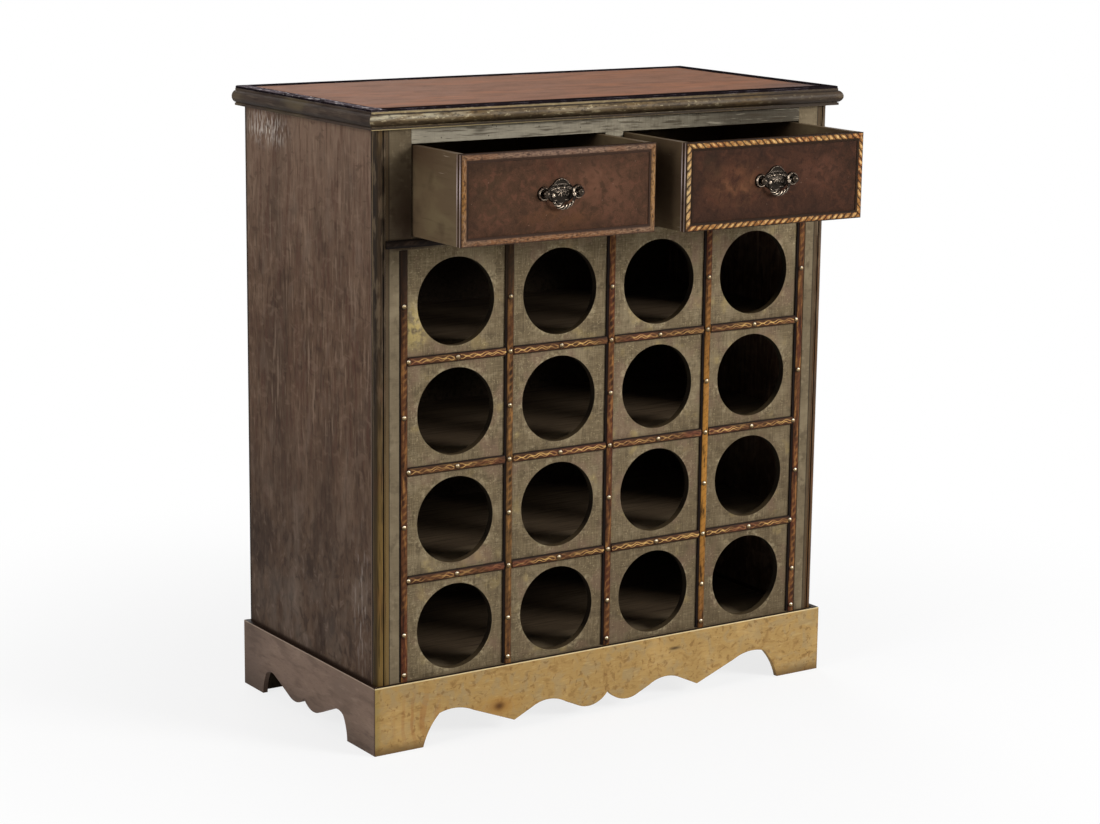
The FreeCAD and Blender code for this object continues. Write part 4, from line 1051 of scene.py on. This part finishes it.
PLATE_DROP = 17.0
PLATE_STEP = 0.8
OUTLINE_STEP = 0.64
OUTLINE_CLEAR = 0.48
PLATE_CREST = (-0.2, 0.8)
FLAT_FACE = 0.01
MESH_WELD = 1e-5
POST_SPACING = 54.8
EAR_RING = 7.8
ARCH_DROP = 40
ARCH_RADIUS = 47
ARCH_STEP = 3.4
CURL_PLACE = (9, -1)
CURL_RADIUS = 3.0
PETALS = (-162, -126, -90, -54, -18)
PETAL_ROOT = 3
PETAL_REACH = 5.5
PETAL_LENGTH = 3.6
RIM_INSET = 1.3
RIM_CREST = (9, 12)
ARCH_END = (19, 15)
INNER_ARCH_END = (12, 9)
RIM_RIDGE = (0.8, 0.9)
EAR_RIDGE = (1.1, 3.7)
ARCH_RIDGE = (0.9, 2.0)
INNER_ARCH_RIDGE = (0.7, 1.2)
CURL_RIDGE = (0.7, 1.3)
PETAL_RIDGE = (1.1, 2.4)
RELIEF_SINK = 0.7
RELIEF_LIMIT = (0.3, 0.25)
RELIEF_FOOT = (15, 30)
RELIEF_EDGE = 0.7


def inside(point, outline):
    """Whether a point lies within a closed outline."""
    ends = np.roll(outline, -1, 0)
    spans = (outline[:, 1] > point[1]) != (ends[:, 1] > point[1])
    starts, stops = outline[spans], ends[spans]
    slope = (stops[:, 0] - starts[:, 0]) / (stops[:, 1] - starts[:, 1])
    cross = starts[:, 0] + (point[1] - starts[:, 1]) * slope
    return (cross > point[0]).sum() % 2 == 1


def front_outline(node, middle):
    """The longest edge loop of a CAD node's front face, in millimetres from a middle."""
    work = welded(node)
    links = {}
    for edge in work.edges:
        facing = [abs(face.normal.y + 1) < FLAT_FACE for face in edge.link_faces]
        if any(facing) and not all(facing):
            for first, second in (edge.verts, reversed(list(edge.verts))):
                links.setdefault(first.index, []).append(second.index)
    place_of = {vert.index: np.array([vert.co.x, vert.co.z]) / MM - middle for vert in work.verts}
    work.free()
    loops = []
    while links:
        here = min(links)
        loop = []
        while here in links:
            loop.append(place_of[here])
            ahead = links.pop(here)
            here = next((other for other in ahead if other in links), None)
        loops.append(loop)
    longest = max(loops, key=len)
    spaced = [longest[0]]
    for point in longest[1:]:
        if np.linalg.norm(point - spaced[-1]) > OUTLINE_STEP:
            spaced.append(point)
    return np.array(spaced)


def to_outline(points, outline):
    """Distance from each point to a closed outline."""
    ways = np.roll(outline, -1, 0) - outline
    share = np.einsum("pek,ek->pe", points[:, None] - outline[None], ways) / (ways ** 2).sum(1)
    feet = outline[None] + np.clip(share, 0, 1)[..., None] * ways[None]
    return np.linalg.norm(points[:, None] - feet, axis=2).min(1)


def plate_relief(x, z, rim):
    """Height of a pull's ornament over its plate: rim, ear rings, two arches, curls and a palmette."""
    ear = np.hypot(np.abs(x) - POST_SPACING / 2, z)
    arch = np.hypot(x, z + ARCH_DROP) - ARCH_RADIUS
    curl = np.hypot(np.abs(x) - CURL_PLACE[0], z - CURL_PLACE[1])
    rim_width, rim_height = RIM_RIDGE
    work = [ridge(rim - RIM_INSET, rim_width, rim_height + smooth(z, *RIM_CREST)),
            ridge(ear - EAR_RING, *EAR_RIDGE),
            ridge(arch, *ARCH_RIDGE) * smooth(np.abs(x), *ARCH_END),
            ridge(arch - ARCH_STEP, *INNER_ARCH_RIDGE) * smooth(np.abs(x), *INNER_ARCH_END),
            ridge(curl - CURL_RADIUS, *CURL_RIDGE)]
    up = z - PETAL_ROOT
    for angle in np.radians(PETALS):
        along = x * np.cos(angle) + up * np.sin(angle)
        across = up * np.cos(angle) - x * np.sin(angle)
        work.append(ridge(across, *PETAL_RIDGE) * ridge(along - PETAL_REACH, PETAL_LENGTH))
    least, growth = RELIEF_LIMIT
    foot, span = RELIEF_FOOT
    relief = np.minimum(np.max(work, 0) - RELIEF_SINK, least + growth * np.clip(z + foot, 0, span))
    return relief + smooth(rim, 0, RELIEF_EDGE) - 1


def pull_plate(hand):
    """The cast back plate of a pull, within the outline that the CAD gives it."""
    node = f"{hand}_pull_plate"
    low, high = box_mm(node)
    middle = np.array([(low[0] + high[0]) / 2, low[2] + PLATE_DROP])
    outline = front_outline(node, middle)
    half, rise = np.abs(outline).max(0)
    across, up = np.meshgrid(np.arange(-half, half, PLATE_STEP), np.arange(-rise, rise, PLATE_STEP))
    across = across + (np.arange(len(across)) % 2)[:, None] * PLATE_STEP / 2
    grid = np.stack([across.ravel(), up.ravel()], 1)
    grid = np.array([point for point in grid if inside(point, outline)])
    grid = grid[to_outline(grid, outline) > OUTLINE_CLEAR]
    ring = list(range(len(outline)))
    edges = list(zip(ring, ring[1:] + ring[:1]))
    points = [Vector(point) for point in np.concatenate([outline, grid])]
    flat, _, faces, *_ = geometry.delaunay_2d_cdt(points, edges, [ring], 1, MESH_WELD)
    flat = np.array([tuple(point) for point in flat])
    relief = plate_relief(flat[:, 0], flat[:, 1], to_outline(flat, outline))
    face = np.stack([flat[:, 0] + middle[0], low[1] - relief, flat[:, 1] + middle[1]], 1)
    feet = face[ring]
    feet[:, 1] = high[1]
    count = len(face)
    walls = [[first, second, second + count, first + count] for first, second in edges]
    shell = Shell()
    shell.add(np.concatenate([face, feet]), [list(corners) for corners in faces] + walls
              + [[index + count for index in ring]],
              crest=np.concatenate([smooth(relief, *PLATE_CREST), np.zeros(len(feet))]))
    shell.piece(f"{hand}_pull_relief", f"{hand}_drawer", "pull_bronze", finishes["pull_bronze"], node)


BAIL_REACH = 20.3
BAIL_BEND = 2.4
BAIL_WIRE = 2.0
BAIL_SWELL = 1.5
BAIL_PLIES = 3
BAIL_LAY = 6.5
PLY_DEPTH = 0.15
PLY_TOP = 0.3
WIRE_CREST, PLY_CREST, KNOB_CREST, PIN_CREST = 0.35, 0.5, 0.9, 0.2
LEAST_RADIUS = 0.02
BEND_STEPS = 10
LOOP_STEPS = 110
PLAIN_END = (10, 13)
SWELL_SHARES = (0.2, 0.46)
KNOB_RADIUS = 3.1
KNOB_INSET = 1.0
KNOB_DROP = 2.0
KNOB_STEPS = 15
PIN_RADIUS = 1.0
PIN_STEPS = 4
AROUND = 20
TURN = np.arange(AROUND) * 2 * math.pi / AROUND


def tube(shell, path, ways, radii, crest):
    """A closed tube with its own radius at each point round each place of a path."""
    side = np.cross(ways, BACK)
    rings = path[:, None] + radii[..., None] * (np.cos(TURN)[None, :, None] * side[:, None]
                                               + np.sin(TURN)[None, :, None] * np.array(BACK))
    index = np.arange(len(path) * AROUND).reshape(len(path), AROUND)
    faces = []
    for here, beyond in zip(index, index[1:]):
        for spot in range(AROUND):
            beside = (spot + 1) % AROUND
            faces.append([here[spot], here[beside], beyond[beside], beyond[spot]])
    faces.append(list(index[0][::-1]))
    faces.append(list(index[-1]))
    shell.add(rings.reshape(-1, 3), faces, crest=np.broadcast_to(crest, radii.shape).ravel())


def arc(middle, radius, start, end, steps):
    """Points and headings on an arc in the XZ plane, angles in degrees from +X."""
    angle = np.radians(np.linspace(start, end, steps))
    level = np.zeros(steps)
    points = np.stack([middle[0] + radius * np.cos(angle), level, middle[1] + radius * np.sin(angle)], 1)
    ways = np.stack([-np.sin(angle), level, np.cos(angle)], 1) * np.sign(end - start)
    return points, ways


def pull_bail(hand):
    """The hanging bail: a corded loop with a knob at each shoulder and a pin at each end."""
    node = f"{hand}_pull_bail"
    low, high = box_mm(node)
    origin = np.array([(low[0] + high[0]) / 2, (low[1] + high[1]) / 2, low[2] + BAIL_REACH + BAIL_WIRE])
    loop = BAIL_REACH - BAIL_BEND
    parts = [arc((-BAIL_REACH, -BAIL_BEND), BAIL_BEND, 90, 0, BEND_STEPS),
             arc((0, -BAIL_BEND), loop, 180, 360, LOOP_STEPS),
             arc((BAIL_REACH, -BAIL_BEND), BAIL_BEND, 180, 90, BEND_STEPS)]
    path, ways = (np.concatenate([first[:-1], second, third[1:]]) for first, second, third in zip(*parts))
    run = np.concatenate([[0], np.cumsum(np.linalg.norm(np.diff(path, axis=0), axis=1))])
    corded = smooth(run, *PLAIN_END) * smooth(run[-1] - run, *PLAIN_END)
    twist = np.cos(BAIL_PLIES * TURN[None, :] - run[:, None] * 2 * math.pi / BAIL_LAY)
    share = run / run[-1]
    swell = BAIL_SWELL * smooth(share, *SWELL_SHARES) * smooth(1 - share, *SWELL_SHARES)
    inward = np.cross(ways, BACK)
    path = path + inward * np.where((path * inward).sum(1) < 0, 1, -1)[:, None] * swell[:, None]
    wide = np.cos(TURN)[None, :] / (BAIL_WIRE + swell[:, None])
    broad = 1 / np.hypot(wide, np.sin(TURN)[None, :] / BAIL_WIRE)
    radii = broad * (1 - PLY_DEPTH * corded[:, None] * (1 - twist))
    shell = Shell()
    crest = WIRE_CREST + PLY_CREST * corded[:, None] * (twist > PLY_TOP)
    tube(shell, path + origin, ways, radii, crest)
    for lean, end in ((-1, low[0]), (1, high[0])):
        knob = np.linspace(0, math.pi, KNOB_STEPS)
        spots = np.zeros((KNOB_STEPS, 3))
        spots[:, 0] = lean * (loop - KNOB_INSET) - KNOB_RADIUS * np.cos(knob)
        spots[:, 2] = -KNOB_DROP
        sizes = np.repeat(np.maximum(KNOB_RADIUS * np.sin(knob), LEAST_RADIUS)[:, None], AROUND, 1)
        level = np.tile([1.0, 0, 0], (KNOB_STEPS, 1))
        tube(shell, spots + origin, level, sizes, KNOB_CREST)
        pin = np.zeros((PIN_STEPS, 3))
        pin[:, 0] = np.linspace(lean * BAIL_REACH, end - origin[0], PIN_STEPS)
        sizes = np.full((PIN_STEPS, AROUND), PIN_RADIUS)
        tube(shell, pin + origin, level[:PIN_STEPS] * lean, sizes, PIN_CREST)
    shell.piece(f"{hand}_pull_loop", f"{hand}_bail", "pull_bronze", finishes["pull_bronze"], node)


for hand in HANDS:
    drawer_trim(hand)
    leather_low = box_mm(f"{hand}_drawer_leather")[0]
    plate_low, plate_high = box_mm(f"{hand}_pull_plate")
    seat = ((plate_low + plate_high) / 2 - leather_low)[[0, 2]]
    field(f"{hand}_drawer_leather", f"{hand}_drawer", "drawer_leather", drawer_finishes[hand],
          f"{hand}_drawer_leather_field", (RIGHT, UP, FRONT), step=2.5, sink=0.35,
          flat=(seat, (plate_high - plate_low)[[0, 2]] / 2))
    pull_plate(hand)
    pull_bail(hand)


def lamp(name, azimuth, elevation, distance, size, power):
    """A soft panel that faces the cabinet, placed by its angles in degrees seen from the front."""
    data = bpy.data.lights.new(name, "AREA")
    data.shape = "DISK"
    data.size = size
    data.energy = power
    made = bpy.data.objects.new(name, data)
    side, height = math.radians(azimuth), math.radians(elevation)
    way = Vector((math.sin(side) * math.cos(height), -math.cos(side) * math.cos(height), math.sin(height)))
    made.location = (cad_low + cad_high) / 2 + way * distance
    made.rotation_euler = way.to_track_quat("Z", "Y").to_euler()
    bpy.context.scene.collection.objects.link(made)


lamp("key_panel", azimuth=33, elevation=22, distance=4.2, size=1.6, power=145)
lamp("fill_panel", azimuth=-84, elevation=24, distance=4.5, size=2.6, power=82)
lamp("top_panel", azimuth=10, elevation=80, distance=3.6, size=2.4, power=22)
lamp("back_panel_light", azimuth=165, elevation=30, distance=4.5, size=2.6, power=60)

AMBIENT = 0.15
WHITE = (1, 1, 1, 1)
scene = bpy.context.scene
scene.view_settings.view_transform = "Standard"
scene.world = bpy.data.worlds.new("studio")
sky = Tree(scene.world)
soft = sky.tree.nodes["Background"]
soft.inputs["Color"].default_value = WHITE
soft.inputs["Strength"].default_value = AMBIENT
sky.end("World Output", sky.seen(), soft, sky.node("Background", {"Color": WHITE}))

FLOOR_RADIUS = 12.0
FLOOR_SEGMENTS = 96
FLOOR_DROP = 0.0005
FLOOR_NEAR, FLOOR_FAR = 0.5, 1.4
FLOOR_GLOW = 0.8
FLOOR_ROUGHNESS = 0.9


def floor():
    """A pale floor that takes a light shadow near the cabinet and is white far away."""
    work = bmesh.new()
    bmesh.ops.create_circle(work, cap_ends=True, segments=FLOOR_SEGMENTS, radius=FLOOR_RADIUS)
    bmesh.ops.translate(work, verts=work.verts, vec=(0, 0, -FLOOR_DROP))
    mesh = bpy.data.meshes.new("floor")
    work.to_mesh(mesh)
    work.free()
    made = bpy.data.objects.new("floor", mesh)
    bpy.context.scene.collection.objects.link(made)
    pale = Finish("floor_finish", (246, 246, 246))
    away = pale.vector("LENGTH", pale.place, result="Value")
    share = pale.node("MapRange", {0: away, 1: FLOOR_NEAR, 2: FLOOR_FAR, 3: FLOOR_GLOW},
                      interpolation_type="SMOOTHSTEP").outputs[0]
    for key, value in (("Base Color", pale.colour), ("Roughness", FLOOR_ROUGHNESS),
                       ("Specular IOR Level", 0.0)):
        pale.shader.inputs[key].default_value = value
    pale.end("Material Output", pale.both(share, pale.seen()), pale.shader, pale.node("Emission"))
    mesh.materials.append(pale.material)


floor()

LENS = 87.64
SENSOR = 36
EYE = Vector((-2.1543, -3.20315, 1.2507))
YAW, PITCH, ROLL = (math.radians(value) for value in (-33.57, 12.06, 0.69))
camera_data = bpy.data.cameras.new("camera")
camera_data.lens = LENS
camera_data.sensor_width = SENSOR
camera = bpy.data.objects.new("camera", camera_data)
scene.collection.objects.link(camera)
ahead = Vector((-math.sin(YAW) * math.cos(PITCH), math.cos(YAW) * math.cos(PITCH), -math.sin(PITCH)))
beside = ahead.cross(UP).normalized()
above = beside.cross(ahead)
level_side = beside * math.cos(ROLL) + above * math.sin(ROLL)
level_up = above * math.cos(ROLL) - beside * math.sin(ROLL)
turned = Matrix((level_side, level_up, -ahead)).transposed().to_4x4()
camera.matrix_world = Matrix.Translation(EYE) @ turned
scene.camera = camera
